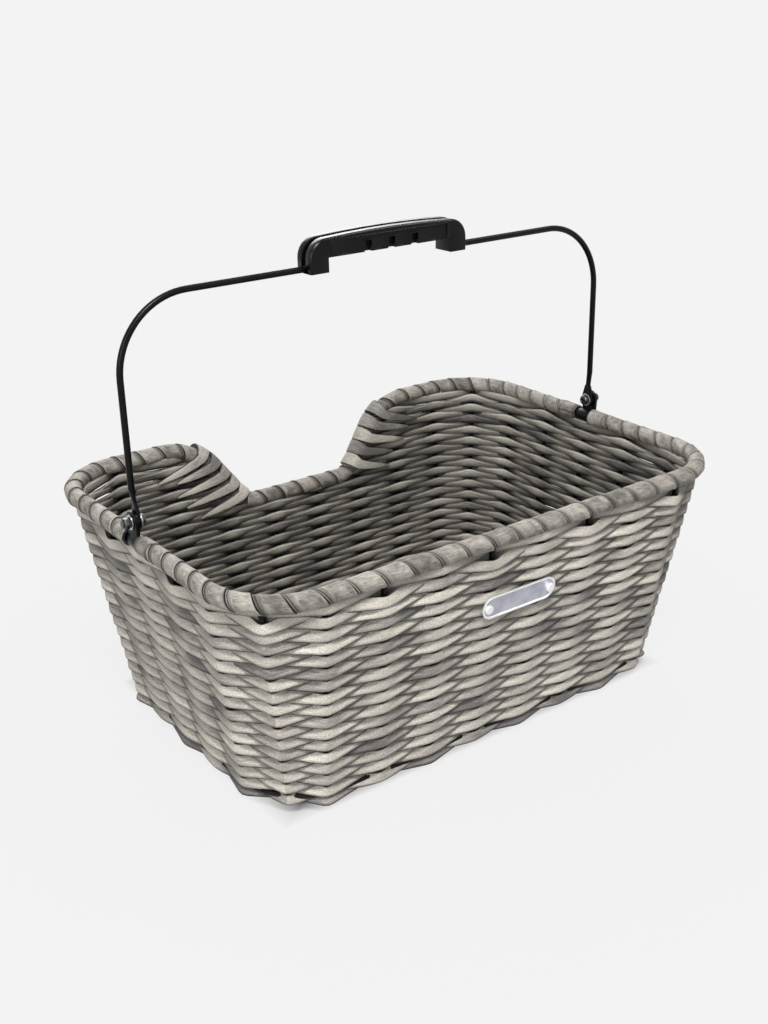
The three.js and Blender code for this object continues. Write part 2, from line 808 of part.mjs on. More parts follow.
function handleWirePoints() {
  const level = handleHeight + gripWireRise;
  const corner = (x, z, radius, steps) => ({ at: new THREE.Vector3(x, 0, z), radius, steps });
  const runs = [
    [handleHalfSpan, wireFootAbovePivot],
    [handleHalfSpan, handleHeight, handleCornerRadius, curveSteps],
    [wireInGrip, handleHeight, gripWireBendRadius, gripWireBendSteps],
    [wireInGrip - gripWireBendRun, level, gripWireBendRadius, gripWireBendSteps],
  ];
  const right = runs.map(([x, ...rest]) => corner(x, ...rest));
  const left = runs.map(([x, ...rest]) => corner(-x, ...rest)).reverse();
  return bentWire([...right, ...left]);
}

// The flattened end of the wire: a round eye that narrows to the wire.
function lugGeometry() {
  const neck = handleWireDiameter / 2;
  const lean = Math.acos((lugRadius - neck) / lugNeckAbovePivot);
  const shoulder = Math.PI / 2 - lean;
  const outline = new THREE.Shape();
  outline.moveTo(neck, lugNeckAbovePivot);
  outline.lineTo(-neck, lugNeckAbovePivot);
  outline.absarc(0, 0, lugRadius, Math.PI - shoulder, 2 * Math.PI + shoulder);
  outline.closePath();
  return extruded(outline, lugThickness).applyMatrix4(acrossX).translate(rimLength / 2 + lugInner, 0, 0);
}

function handleWireGeometry() {
  const wire = tube(handleWirePoints(), handleWireDiameter / 2);
  const rightLug = lugGeometry();
  const leftLug = lugGeometry().rotateZ(Math.PI);
  const pin = rod(
    new THREE.Vector3(-rimLength, 0, 0),
    new THREE.Vector3(rimLength, 0, 0),
    clearRadius(boltDiameter, roundSides),
    roundSides,
  );
  return cut(joined(wire, rightLug, leftLug), [pin]);
}

function gripOutline() {
  const half = gripLength / 2;
  const legInner = half - gripLegWidth;
  const cornerLevel = gripRise - gripCornerRadius;
  const outline = new THREE.Shape();
  outline.moveTo(-half, -gripLegDrop);
  outline.lineTo(-legInner, -gripLegDrop);
  outline.lineTo(-legInner, gripUnderside);
  outline.lineTo(legInner, gripUnderside);
  outline.lineTo(legInner, -gripLegDrop);
  outline.lineTo(half, -gripLegDrop);
  outline.lineTo(half, cornerLevel);
  outline.absarc(half - gripCornerRadius, cornerLevel, gripCornerRadius, 0, Math.PI / 2);
  outline.quadraticCurveTo(0, gripRise + 2 * gripCrown, gripCornerRadius - half, gripRise);
  outline.absarc(gripCornerRadius - half, cornerLevel, gripCornerRadius, Math.PI / 2, Math.PI);
  outline.closePath();
  return outline;
}

// A slab of a shape drawn in X and Z, centred on Y = 0.
function slabAcrossY(outline, thickness) {
  return extruded(outline, thickness).rotateX(Math.PI / 2).translate(0, thickness / 2, 0);
}

// The groove that the wire lies in is open along the top and down both ends.
function grooveGeometry() {
  const wireClear = handleWireDiameter / 2 + clearance;
  const outside = gripLength;
  const above = gripRise + gripLength;
  const outline = new THREE.Shape();
  outline.moveTo(-outside, -wireClear);
  outline.lineTo(-wireInGrip + wireClear, -wireClear);
  outline.lineTo(-wireInGrip + gripWireBendRun + wireClear, gripWireRise - wireClear);
  outline.lineTo(wireInGrip - gripWireBendRun - wireClear, gripWireRise - wireClear);
  outline.lineTo(wireInGrip - wireClear, -wireClear);
  outline.lineTo(outside, -wireClear);
  outline.lineTo(outside, above);
  outline.lineTo(-outside, above);
  outline.closePath();
  return slabAcrossY(outline, 2 * wireClear);
}

function fingerNotchCutters() {
  const cutters = [];
  const height = fingerNotchTop + gripLegDrop;
  for (let number = 0; number < fingerNotchCount; number += 1) {
    const x = (number - (fingerNotchCount - 1) / 2) * fingerNotchSpacing;
    for (const side of [-1, 1]) {
      const box = new THREE.BoxGeometry(fingerNotchWidth, 2 * fingerNotchDepth, height);
      cutters.push(box.translate(x, (side * gripThickness) / 2, fingerNotchTop - height / 2));
    }
  }
  return cutters;
}

function gripGeometry() {
  const body = slabAcrossY(gripOutline(), gripThickness);
  return cut(body, [grooveGeometry(), ...fingerNotchCutters()]);
}

function buildHandle() {
  const handle = new THREE.Group();
  handle.position.z = footLevel + wallHeight + pivotHeight;
  basket.add(handle);
  addMesh("handle_wire", handleWireGeometry(), finishes.blackSteel, handle);
  const grip = addMesh("handle_grip", gripGeometry(), finishes.blackPlastic, handle);
  grip.position.z = handleHeight;
}

// Badge: a plate with round ends outside the wall, a backing strip inside, two rivets through both

function stadiumShape(length, height) {
  const straight = (length - height) / 2;
  const outline = new THREE.Shape();
  outline.absarc(straight, 0, height / 2, -Math.PI / 2, Math.PI / 2);
  outline.absarc(-straight, 0, height / 2, Math.PI / 2, (3 * Math.PI) / 2);
  outline.closePath();
  const rivetHole = circleShape(clearRadius(rivetShankDiameter, roundSides), roundSides);
  for (const side of [-1, 1]) {
    const shift = new THREE.Vector2((side * rivetSpacing) / 2, 0);
    outline.holes.push(new THREE.Path(rivetHole.getPoints().map((point) => point.add(shift))));
  }
  return outline;
}

// A rivet with a flat tail inside the wall and a domed head outside it.
function rivetGeometry(outerFace, innerFace) {
  const dome = spread(0, Math.PI / 2, rivetHeadSteps).map((angle) => [
    (rivetHeadDiameter / 2) * Math.cos(angle),
    outerFace + rivetHeadHeight * Math.sin(angle),
  ]);
  const profile = [
    [0, innerFace - rivetTailHeight],
    [rivetTailDiameter / 2, innerFace - rivetTailHeight],
    [rivetTailDiameter / 2, innerFace],
    [rivetShankDiameter / 2, innerFace],
    [rivetShankDiameter / 2, outerFace],
    ...dome,
  ];
  const points = profile.map(([radius, along]) => new THREE.Vector2(radius, along));
  return new THREE.LatheGeometry(points, roundSides).rotateX(Math.PI / 2);
}

function buildBadge() {
  const { frame, wallDepth } = badgeFrame();
  basket.add(frame);
  const badgeBack = clearance;
  const backingFront = -wallDepth - clearance;
  const plate = extruded(stadiumShape(badgeLength, badgeHeight), badgeThickness);
  const backing = extruded(stadiumShape(badgeLength, backingHeight), backingThickness);
  backing.translate(0, 0, backingFront - backingThickness);
  addMesh("badge_plate", plate.translate(0, 0, badgeBack), finishes.badgeMetal, frame);
  addMesh("badge_backing", backing, finishes.zincSteel, frame);
  const outerFace = badgeBack + badgeThickness + clearance;
  const innerFace = backingFront - backingThickness - clearance;
  [-1, 1].forEach((side, index) => {
    const geometry = rivetGeometry(outerFace, innerFace);
    const rivet = addMesh(`badge_rivet_${index + 1}`, geometry, finishes.badgeMetal, frame);
    rivet.position.x = (side * rivetSpacing) / 2;
  });
}

// Rack plate, clamp strips and screws

function roundedRectangle(length, width, radius) {
  const x = length / 2 - radius;
  const y = width / 2 - radius;
  const outline = new THREE.Shape();
  outline.absarc(x, -y, radius, -Math.PI / 2, 0);
  outline.absarc(x, y, radius, 0, Math.PI / 2);
  outline.absarc(-x, y, radius, Math.PI / 2, Math.PI);
  outline.absarc(-x, -y, radius, Math.PI, (3 * Math.PI) / 2);
  outline.closePath();
  return outline;
}

function rackScrewGeometry(shankLength) {
  const headTop = shankLength + rackScrewHeadHeight;
  const profile = [
    [0, 0],
    [rackScrewDiameter / 2, 0],
    [rackScrewDiameter / 2, shankLength],
    [rackScrewHeadDiameter / 2, shankLength],
    [rackScrewHeadDiameter / 2, headTop - rackScrewBevelDepth],
    [rackScrewFaceDiameter / 2, headTop],
    [rackScrewSocketDiameter / 2, headTop],
    [rackScrewSocketDiameter / 2, headTop - rackScrewSocketDepth],
    [0, headTop - rackScrewSocketDepth],
  ];
  const points = profile.map(([radius, along]) => new THREE.Vector2(radius, along));
  return new THREE.LatheGeometry(points, roundSides).rotateX(Math.PI / 2);
}

function buildRackFixing() {
  const plateShape = roundedRectangle(rackPlateLength, rackPlateWidth, rackPlateCornerRadius);
  const plate = extruded(plateShape, rackPlateThickness);
  addMesh("rack_plate", cut(plate, screwHoleCutters()), finishes.blackPlastic);

  const stripLevel = footLevel + floorTop + clearance;
  const stripLength = rackScrewSpacingY + 2 * clampStripOverhang;
  const stripShape = roundedRectangle(clampStripWidth, stripLength, clampStripCornerRadius);
  const stripHoles = rackScrewPlaces().map(({ x, y }) => {
    const low = new THREE.Vector3(x, y, stripLevel - cutOverrun);
    const high = new THREE.Vector3(x, y, stripLevel + clampStripThickness + cutOverrun);
    return rod(low, high, clearRadius(rackScrewDiameter, roundSides), roundSides);
  });
  ["left", "right"].forEach((end, index) => {
    const strip = extruded(stripShape, clampStripThickness, clampStripCornerSteps);
    strip.translate((index - 0.5) * rackScrewSpacingX, 0, stripLevel);
    addMesh(`clamp_strip_${end}`, cut(strip, stripHoles), finishes.blackSteel);
  });

  const headLevel = stripLevel + clampStripThickness + clearance;
  rackScrewPlaces().forEach(({ x, y }, index) => {
    const shankLength = headLevel - rackScrewTipCover;
    const screw = addMesh(`rack_screw_${index + 1}`, rackScrewGeometry(shankLength), finishes.zincSteel);
    screw.position.set(x, y, rackScrewTipCover);
  });
}

buildFrame();
buildWall();
buildFloor();
buildWrap();
buildHinge("right", 0);
buildHinge("left", Math.PI);
buildHandle();
buildBadge();
buildRackFixing();

export default basket;
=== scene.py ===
"""Rear bicycle basket: flat wicker strands woven on a steel frame, with a swing-over handle.

Metres, +Z up. +X runs along the basket, -Y is the side with the badge and +Y the side with
the saddle notch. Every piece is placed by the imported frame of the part.
"""

import json
import math
import random

import bmesh
import bpy
import numpy as np
from mathutils import Matrix, Vector


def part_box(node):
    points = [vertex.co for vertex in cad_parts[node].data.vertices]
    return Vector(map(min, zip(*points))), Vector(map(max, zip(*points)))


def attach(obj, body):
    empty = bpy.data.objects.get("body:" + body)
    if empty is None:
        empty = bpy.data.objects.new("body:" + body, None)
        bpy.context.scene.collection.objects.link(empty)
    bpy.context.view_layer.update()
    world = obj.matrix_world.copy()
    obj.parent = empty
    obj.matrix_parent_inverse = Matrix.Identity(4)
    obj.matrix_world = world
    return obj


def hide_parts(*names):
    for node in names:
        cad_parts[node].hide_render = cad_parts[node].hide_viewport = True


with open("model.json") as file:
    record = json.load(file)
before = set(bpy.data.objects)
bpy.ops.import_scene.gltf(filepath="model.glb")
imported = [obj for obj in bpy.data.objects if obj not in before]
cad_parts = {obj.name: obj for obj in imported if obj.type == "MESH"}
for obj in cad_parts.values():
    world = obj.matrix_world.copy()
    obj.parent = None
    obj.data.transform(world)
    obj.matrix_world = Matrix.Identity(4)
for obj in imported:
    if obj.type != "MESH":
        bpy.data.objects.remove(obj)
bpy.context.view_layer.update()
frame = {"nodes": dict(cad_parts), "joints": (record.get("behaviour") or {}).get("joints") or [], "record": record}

bl_info = {
    "name": "Rear bicycle basket",
    "version": (1, 0, 0),
    "blender": (4, 5, 0),
    "location": "View3D > Sidebar > Basket",
    "description": "Weaves and finishes a rear bicycle basket on its steel frame",
    "category": "Object",
}

# Sizes of the frame's wires and of the wound rim, in metres
RING_RADIUS = 0.0038
FOOT_RING_RADIUS = 0.0025
WRAP_RADIUS = 0.0063
CORNER_RADIUS = 0.052

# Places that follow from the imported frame
RIM_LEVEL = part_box("rim_ring")[1].z - RING_RADIUS
RIM_HALF = [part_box("rim_ring")[1][axis] - RING_RADIUS for axis in (0, 1)]
FOOT_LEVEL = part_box("woven_wall")[0].z
WALL_HEIGHT = RIM_LEVEL - FOOT_LEVEL
FOOT_RING_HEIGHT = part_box("foot_ring")[1].z - FOOT_RING_RADIUS - FOOT_LEVEL
FOOT_RING_HALF = [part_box("foot_ring")[1][axis] - FOOT_RING_RADIUS for axis in (0, 1)]
FOOT_SHARE = FOOT_RING_HEIGHT / WALL_HEIGHT
FOOT_HALF = [
    (ring - rim * FOOT_SHARE) / (1 - FOOT_SHARE) for ring, rim in zip(FOOT_RING_HALF, RIM_HALF)
]
PIVOT = Vector(frame["joints"][0]["pos_m"])

# Saddle notch in the far rim
NOTCH_CENTRE = 0.004
NOTCH_DEPTH = RIM_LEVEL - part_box("rim_wrap_far")[0].z - WRAP_RADIUS
NOTCH_HALF_WIDTH = 0.0745
NOTCH_SLOPE = math.radians(54)
NOTCH_TOP_RADIUS = 0.050
NOTCH_BOTTOM_RADIUS = 0.028

# Stakes: how many stand on a side, and how far apart they stand at the foot
LONG_SIDE_STAKES = 8
SHORT_SIDE_STAKES = 5
LONG_SIDE_FOOT_SPACING = 0.042
SHORT_SIDE_FOOT_SPACING = 0.040
STAKE_COUNT = 2 * (LONG_SIDE_STAKES + SHORT_SIDE_STAKES) + 4
FIRST_FAR_STAKE = LONG_SIDE_STAKES + SHORT_SIDE_STAKES + 3

# How finely strands are divided, and how unevenly a hand weaves them
STEPS_PER_STAKE = 12
STEPS_PER_TURN = 30
SWAY_SPREAD = (0.93, 1.07)
LEAN_SPREAD = (0.82, 1.12)
WIDTH_SPREAD = (0.94, 1.06)

# Rows that differ from the others: the first full row hangs lower outside, the top one lies
# almost level, the fourth from the top drops a share of the stub gap, and the two lowest rows
# have tones of their own
FIRST_ROW_DROP = 0.0009
TOP_ROW_RISE = 0.0006
FOURTH_ROW_SHARE = 0.35
BORDER_TONES = {0: 0.02, 1: 0.3}

# Section of the winding: place across the strand in turns, distance from the rim ring's middle
# in metres, and painted shade, dark along the seams between turns. It is low at the edge that
# the next turn covers. The lift per turn sets a run's square ends over their neighbours.
WINDING_PROFILE = np.array(
    [
        (-0.5, 0.0044, 1.0),
        (-0.49, 0.0052, 1.0),
        (-0.465, 0.0060, 0.35),
        (-0.43, 0.0061, 0.3),
        (-0.405, 0.0055, 1.0),
        (-0.375, 0.0061, 0.4),
        (-0.2, 0.0063, 0.05),
        (0.2, 0.0064, 0.0),
        (0.4, 0.0067, 0.0),
        (0.47, 0.0067, 0.1),
        (0.488, 0.0060, 1.0),
        (0.49, 0.0042, 1.0),
    ]
)
WINDING_LIFT = 0.0006

# The notch's loops: spread of their legs' lengths, how far the ends lie down the wall as a
# share of a leg, how late the legs turn level, and how fast the width falls off the crown
LOOP_LEG_SPREAD = (0.85, 1.15)
LOOP_FALL = 0.55
LOOP_CURL = 1.5
LOOP_TAPER = 0.55

# Clearances of a bolt in its hole and of the strap round the rim ring
HOLE_CLEARANCE = 0.0003
STRAP_CLEARANCE = 0.0002

# Rounding of edges
EYE_EDGE = 0.0005
BRACKET_EDGE = 0.0004
NUT_EDGE = 0.0005
WASHER_EDGE = 0.0002
RACK_PLATE_EDGE = 0.0012
CLAMP_STRIP_EDGE = 0.0005
SCREW_EDGE = 0.0003

# Distances under which two places count as one, and under which points are merged
SAME_PLACE = 1e-5
MERGE_DISTANCE = 1e-6

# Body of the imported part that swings
HANDLE_BODY = "handle"


# Sizes and colours that a user would change


def length_property(name, description, default):
    """A setting in metres."""
    return bpy.props.FloatProperty(
        name=name, description=description, default=default, unit="LENGTH"
    )


def angle_property(name, description, default):
    return bpy.props.FloatProperty(
        name=name, description=description, default=default, subtype="ANGLE"
    )


def share_property(name, description, default):
    """A setting that is a plain number, such as a share."""
    return bpy.props.FloatProperty(name=name, description=description, default=default)


def colour_property(name, description, default):
    return bpy.props.FloatVectorProperty(
        name=name, description=description, default=default, subtype="COLOR"
    )


class BasketWeaveSettings(bpy.types.PropertyGroup):
    first_row: length_property("First row", "Height of the first full row above the foot", 0.0059)
    top_gap: length_property("Top row", "Depth of the top row under the rim ring", 0.0067)
    unevenness: length_property(
        "Unevenness", "How far a strand strays up or down at a stake", 0.0005
    )
    bend_reach: share_property(
        "Bend reach", "Share of a span over which a strand bends at a stake", 0.08
    )
    row_count: bpy.props.IntProperty(
        name="Rows",
        description="Strands woven round the wall",
        default=32,
        min=8,
        max=60,
    )
    strand_width: length_property("Strand width", "Width of a flat strand", 0.0082)
    strand_thickness: length_property("Strand thickness", "Thickness of a flat strand", 0.0022)
    sway: length_property(
        "Sway", "How far a strand passes in front of or behind the line of the stakes", 0.0038
    )
    sag: length_property("Sag", "How far a strand drops in front of a stake", 0.0015)
    stub_gap: length_property(
        "Stub gap", "How much lower the last but one row passes in front of the stakes", 0.0050
    )
    stake_roll: angle_property(
        "Roll at stakes",
        "Lean of a strand's upper edge into the basket at a stake",
        math.radians(8),
    )
    middle_roll: angle_property(
        "Roll between stakes",
        "Lean of a strand's upper edge into the basket halfway between stakes",
        math.radians(42),
    )
    border_outside: length_property(
        "Border outside", "Height of the lowest strand where it passes outside a stake", 0.0013
    )
    border_inside: length_property(
        "Border inside", "Height of the lowest strand where it passes inside a stake", 0.0052
    )
    border_roll: angle_property(
        "Border roll",
        "Lean of the lowest strand, which is turned half under, at a stake",
        math.radians(52),
    )
    border_middle_roll: angle_property(
        "Border middle roll", "Lean of the lowest strand halfway between stakes", math.radians(46)
    )
    top_roll: angle_property(
        "Top roll", "Lean of the top strand halfway between stakes", math.radians(20)
    )
    floor_pitch: length_property("Floor pitch", "Distance between the floor's strands", 0.0080)
    floor_sway: length_property(
        "Floor sway", "How far a floor strand passes above or below a cross wire", 0.0032
    )
    dark_colour: colour_property(
        "Dark strand", "Colour of the darkest strands", (0.155, 0.143, 0.139)
    )
    middle_colour: colour_property(
        "Middle strand", "Colour of the usual strands", (0.455, 0.42, 0.373)
    )
    light_colour: colour_property(
        "Light strand", "Colour of the lightest strands", (0.63, 0.591, 0.515)
    )


class BasketRimSettings(bpy.types.PropertyGroup):
    near_side_pitch: length_property(
        "Near pitch", "Distance from turn to turn on the near side", 0.0221
    )
    short_side_pitch: length_property(
        "Side pitch", "Distance from turn to turn on the other sides", 0.0181
    )
    near_gap: length_property("Near gap", "From a hinge's middle to the near winding", 0.0062)
    far_gap: length_property("Far gap", "From a hinge's middle to the far winding", 0.0099)
    loop_count: bpy.props.IntProperty(
        name="Notch loops",
        description="Strands looped over the rim on each slope of the notch",
        default=5,
        min=0,
    )
    loop_spacing: length_property(
        "Loop spacing", "Distance along the rim between these loops", 0.0125
    )
    loop_radius: length_property(
        "Loop radius", "From the rim's middle line to the middle of a loop", 0.0086
    )
    loop_leg: length_property("Loop leg", "Length of a loop's legs along the wall", 0.026)
    loop_hug: length_property(
        "Loop end", "From the middle of the wall to the ends of a loop", 0.0052
    )
    loop_crown: share_property(
        "Loop crown", "Width of a loop on top of the rim, in widths of a strand", 1.62
    )
    loop_tip: share_property("Loop tip", "Width of a loop's ends, in widths of a strand", 0.2)
    wrap_colour: colour_property(
        "Winding", "Colour of the strand wound round the rim", (0.245, 0.226, 0.20)
    )


class BasketHandleSettings(bpy.types.PropertyGroup):
    wire_width: length_property("Wire width", "Thickness of the handle's round wire", 0.0046)
    height: length_property("Height", "Height of the wire's level run above the pivots", 0.1491)
    corner_radius: length_property("Corner radius", "Radius of the wire's two upper corners", 0.052)
    outset: length_property(
        "Outset", "How far the wire stands outside the rim's middle line", 0.0008
    )
    neck_height: length_property("Neck", "Height above the pivot where the eye draws in", 0.0125)
    flattening: length_property("Flattening", "Length over which the wire is flattened", 0.011)
    eye_radius: length_property("Eye radius", "Radius of the wire's flattened eye", 0.006)
    eye_thickness: length_property("Eye thickness", "Thickness of the flattened eye", 0.0025)
    eye_offset: length_property(
        "Eye offset", "From the rim's middle line out to the eye's outer face", 0.0007
    )
    grip_wire_half: length_property(
        "Wire in grip", "Half the length over which the wire is raised", 0.0664
    )
    grip_wire_rise: length_property("Wire rise", "How far the wire rises inside the grip", 0.013)
    grip_bend_radius: length_property(
        "Grip bend radius", "Radius of the small bends at the grip", 0.006
    )
    grip_bend_angle: angle_property("Grip bend angle", "Turn of the small bends at the grip", 1.077)
    crown_chamfer: length_property("Crown chamfer", "Chamfer along the crown of the grip", 0.0012)
    grip_corner_radius: length_property(
        "Grip corner", "Radius of the grip's two upper corners", 0.0141
    )
    crown_band: length_property("Crown band", "Height of the grip's slightly arched crown", 0.0026)
    panel_drop: length_property("Panel drop", "From the grip's top to its sunk panels", 0.0034)
    panel_inset: length_property("Panel inset", "From the grip's end to its sunk panel", 0.0175)
    lip_width: length_property("Lip", "Width of the lip round the sunk panel", 0.0007)
    lip_height: length_property(
        "Lip height", "How far the lip stands proud of the grip's side", 0.0004
    )
    panel_depth: length_property("Panel depth", "Depth of the sunk panel below its lip", 0.0015)
    panel_draft: length_property("Panel draft", "Width of the slopes beside the lip", 0.00015)
    grip_edge: length_property("Grip edge", "Width of the rounding of the grip's edges", 0.00025)


class BasketHingeSettings(bpy.types.PropertyGroup):
    tab_offset: length_property("Tab offset", "From the rim's middle line to the tab", 0.001)
    tab_radius: length_property("Tab radius", "Radius of the tab's round top", 0.0075)
    tab_foot_share: share_property("Tab foot", "Width of the tab's foot as a share of its top", 0.9)
    tab_thickness: length_property("Tab thickness", "Thickness of the bracket's tab", 0.0025)
    strap_start: length_property(
        "Strap start", "From the hinge's middle to the strap's near end", 0.0058
    )
    strap_length: length_property("Strap length", "Length of the strap along the rim", 0.0152)
    strap_radius: length_property(
        "Strap radius", "Outer radius of the strap round the rim ring", 0.0052
    )
    bolt_width: length_property("Bolt width", "Thickness of the pivot bolt", 0.005)
    bolt_head_width: length_property("Bolt head width", "Width of the bolt's round head", 0.0079)
    bolt_head_height: length_property("Bolt head height", "Height of the bolt's head", 0.0025)
    bolt_head_rounding: length_property("Head rounding", "Rounding of the bolt's head", 0.0013)
    socket_rim: length_property("Socket rim", "Flat width round the socket", 0.0009)
    socket_depth: length_property("Socket depth", "Depth of the socket in the bolt's head", 0.0018)
    nut_width: length_property("Nut width", "Width of the nut over its corners", 0.0084)


class BasketBadgeSettings(bpy.types.PropertyGroup):
    length: length_property("Length", "Length of the badge", 0.0664)
    height: length_property("Height", "Height of the badge", 0.0176)
    thickness: length_property("Thickness", "Thickness of the badge at its rim", 0.0014)
    rim_width: length_property("Rim width", "Width of the raised rim", 0.0012)
    sink: length_property("Sink", "Depth of the field below the rim", 0.0009)
    field_slope: length_property(
        "Field slope", "Width of the slope from the rim to the field", 0.0003
    )
    edge_rounding: length_property("Edge rounding", "Rounding of the badge's edges", 0.0002)
    rivet_spacing: length_property("Rivet spacing", "Distance between the two rivets", 0.0562)
    rivet_width: length_property("Rivet width", "Width of a rivet's head", 0.007)
    rivet_height: length_property("Rivet height", "Height of a rivet's head above the rim", 0.0019)


class BasketStageSettings(bpy.types.PropertyGroup):
    lens: bpy.props.FloatProperty(
        name="Lens",
        description="Focal length for a 36 mm long side",
        default=44.54,
        subtype="DISTANCE_CAMERA",
    )
    backdrop_colour: colour_property(
        "Backdrop", "Colour of the floor and the world", (0.896, 0.896, 0.896)
    )
    key_energy: bpy.props.FloatProperty(
        name="Key light",
        description="Power of the light above the camera",
        default=58,
        subtype="POWER",
    )
    world_strength: share_property("World light", "Strength of the light from all round", 0.12)


SETTINGS = {
    "basket_weave": BasketWeaveSettings,
    "basket_rim": BasketRimSettings,
    "basket_handle": BasketHandleSettings,
    "basket_hinge": BasketHingeSettings,
    "basket_badge": BasketBadgeSettings,
    "basket_stage": BasketStageSettings,
}


# The leaning wall and the dipping rim


def outline_places(half_size, stations):
    """Points and outward normals on a rounded rectangle. Stations 0 to 8 go once round it,
    anticlockwise from the left end of the near side: even ones start a side, odd ones a corner."""
    stations = np.asarray(stations, float) % 8
    side = np.floor(stations / 2)
    step = stations - 2 * side
    runs_along_x = side % 2 == 0
    half_span = np.where(runs_along_x, half_size[0], half_size[1])
    half_depth = np.where(runs_along_x, half_size[1], half_size[0])
    heading = side * math.pi / 2
    along = (half_span - CORNER_RADIUS) * (2 * np.minimum(step, 1) - 1)
    turn = heading - math.pi / 2 + np.maximum(step - 1, 0) * math.pi / 2
    normal = np.column_stack((np.cos(turn), np.sin(turn)))
    forwards = np.column_stack((np.cos(heading), np.sin(heading)))
    side_normal = np.column_stack((np.sin(heading), -np.cos(heading)))
    point = (
        forwards * along[:, None]
        + side_normal * (half_depth - CORNER_RADIUS)[:, None]
        + normal * CORNER_RADIUS
    )
    return point, normal


def wall_points(stations, heights, outwards=0.0):
    """Points in the wall at heights above its foot, moved outwards from the middle of the weave."""
    stations = np.atleast_1d(np.asarray(stations, float))
    heights = np.broadcast_to(np.asarray(heights, float), stations.shape)
    outwards = np.broadcast_to(np.asarray(outwards, float), stations.shape)
    foot, _ = outline_places(FOOT_HALF, stations)
    rim, normal = outline_places(RIM_HALF, stations)
    flat = foot + (rim - foot) * (heights / WALL_HEIGHT)[:, None] + normal * outwards[:, None]
    return np.column_stack((flat, FOOT_LEVEL + heights))


def notch_dip(distance):
    """How far the rim dips at distances along the far side from the middle of the notch."""
    bottom_rise = NOTCH_BOTTOM_RADIUS * (1 - math.cos(NOTCH_SLOPE))
    top_drop = NOTCH_TOP_RADIUS * (1 - math.cos(NOTCH_SLOPE))
    slope_start = NOTCH_HALF_WIDTH - (NOTCH_DEPTH / 2 - bottom_rise) / math.tan(NOTCH_SLOPE)
    slope_end = NOTCH_HALF_WIDTH + (NOTCH_DEPTH / 2 - top_drop) / math.tan(NOTCH_SLOPE)
    bottom_start = slope_start - NOTCH_BOTTOM_RADIUS * math.sin(NOTCH_SLOPE)
    top_end = slope_end + NOTCH_TOP_RADIUS * math.sin(NOTCH_SLOPE)
    away = np.abs(distance)
    on_bottom = np.sqrt(np.maximum(NOTCH_BOTTOM_RADIUS**2 - (away - bottom_start) ** 2, 0))
    on_top = np.sqrt(np.maximum(NOTCH_TOP_RADIUS**2 - (top_end - away) ** 2, 0))
    return np.select(
        [away <= bottom_start, away <= slope_start, away <= slope_end, away <= top_end],
        [
            NOTCH_DEPTH,
            NOTCH_DEPTH - NOTCH_BOTTOM_RADIUS + on_bottom,
            NOTCH_DEPTH / 2 - (away - NOTCH_HALF_WIDTH) * math.tan(NOTCH_SLOPE),
            NOTCH_TOP_RADIUS - on_top,
        ],
        0.0,
    )


def rim_heights(stations):
    """Heights of the rim ring's centre. The wall narrows as the rim dips, so the dip is
    found again a few times at the place that it leads to."""
    stations = np.atleast_1d(np.asarray(stations, float)) % 8
    on_far_side = (stations > 4) & (stations < 5)
    heights = np.full(stations.shape, WALL_HEIGHT)
    for _ in range(8):
        dip = notch_dip(wall_points(stations, heights)[:, 0] - NOTCH_CENTRE)
        heights = np.where(on_far_side, WALL_HEIGHT - dip, WALL_HEIGHT)
    return heights


def rim_points(stations):
    return wall_points(stations, rim_heights(stations))


def unit(vectors):
    return vectors / np.linalg.norm(vectors, axis=1)[:, None]


def foot_station(side, distance):
    """The station at the foot of a side at a distance from its middle, round the corner too."""
    half_straight = FOOT_HALF[side % 2] - CORNER_RADIUS
    straight = max(-half_straight, min(distance, half_straight))
    turn = math.asin((distance - straight) / CORNER_RADIUS) / (math.pi / 2)
    return side * 2 + 0.5 + straight / (2 * half_straight) + turn


def stake_stations():
    """Each stake's stations at the foot and at the rim, from the near left corner once round."""
    foot, rim = [], []
    for side in range(4):
        count = LONG_SIDE_STAKES if side % 2 == 0 else SHORT_SIDE_STAKES
        spacing = LONG_SIDE_FOOT_SPACING if side % 2 == 0 else SHORT_SIDE_FOOT_SPACING
        foot.append(side * 2 - 0.5)
        rim.append(side * 2 - 0.5)
        for number in range(count):
            foot.append(foot_station(side, (number - (count - 1) / 2) * spacing))
            rim.append(side * 2 + number / (count - 1))
    return np.array(foot), np.array(rim)


def stake_points(heights, outwards=0.0):
    """A point beside each stake's middle line, at a height above the foot of the wall."""
    foot, rim = stake_stations()
    share = np.broadcast_to(np.asarray(heights, float) / WALL_HEIGHT, foot.shape)
    _, foot_normal = outline_places(RIM_HALF, foot)
    _, rim_normal = outline_places(RIM_HALF, rim)
    normal = unit(foot_normal * (1 - share)[:, None] + rim_normal * share[:, None])
    share_up = share[:, None]
    points = wall_points(foot, 0.0) * (1 - share_up) + wall_points(rim, WALL_HEIGHT) * share_up
    points[:, :2] += normal * np.broadcast_to(outwards, foot.shape)[:, None]
    return points


# Meshes


def add_object(name, mesh):
    piece = bpy.data.objects.new(name, mesh)
    bpy.context.scene.collection.objects.link(piece)
    return piece


def map_strand(mesh, along, around):
    """A UV map along a sweep and around its section, in centimetres. The caps keep none."""
    corners = np.zeros((len(along) - 1, len(around) - 1, 4, 2))
    corners[..., 0, 0] = corners[..., 3, 0] = along[:-1, None]
    corners[..., 1, 0] = corners[..., 2, 0] = along[1:, None]
    corners[..., 0, 1] = corners[..., 1, 1] = around[:-1]
    corners[..., 2, 1] = corners[..., 3, 1] = around[1:]
    values = np.zeros((len(mesh.loops), 2))
    values[: corners.size // 2] = corners.reshape(-1, 2)
    uv_layer = mesh.uv_layers.new(name="strand")
    uv_layer.data.foreach_set("uv", (values * 100).ravel())


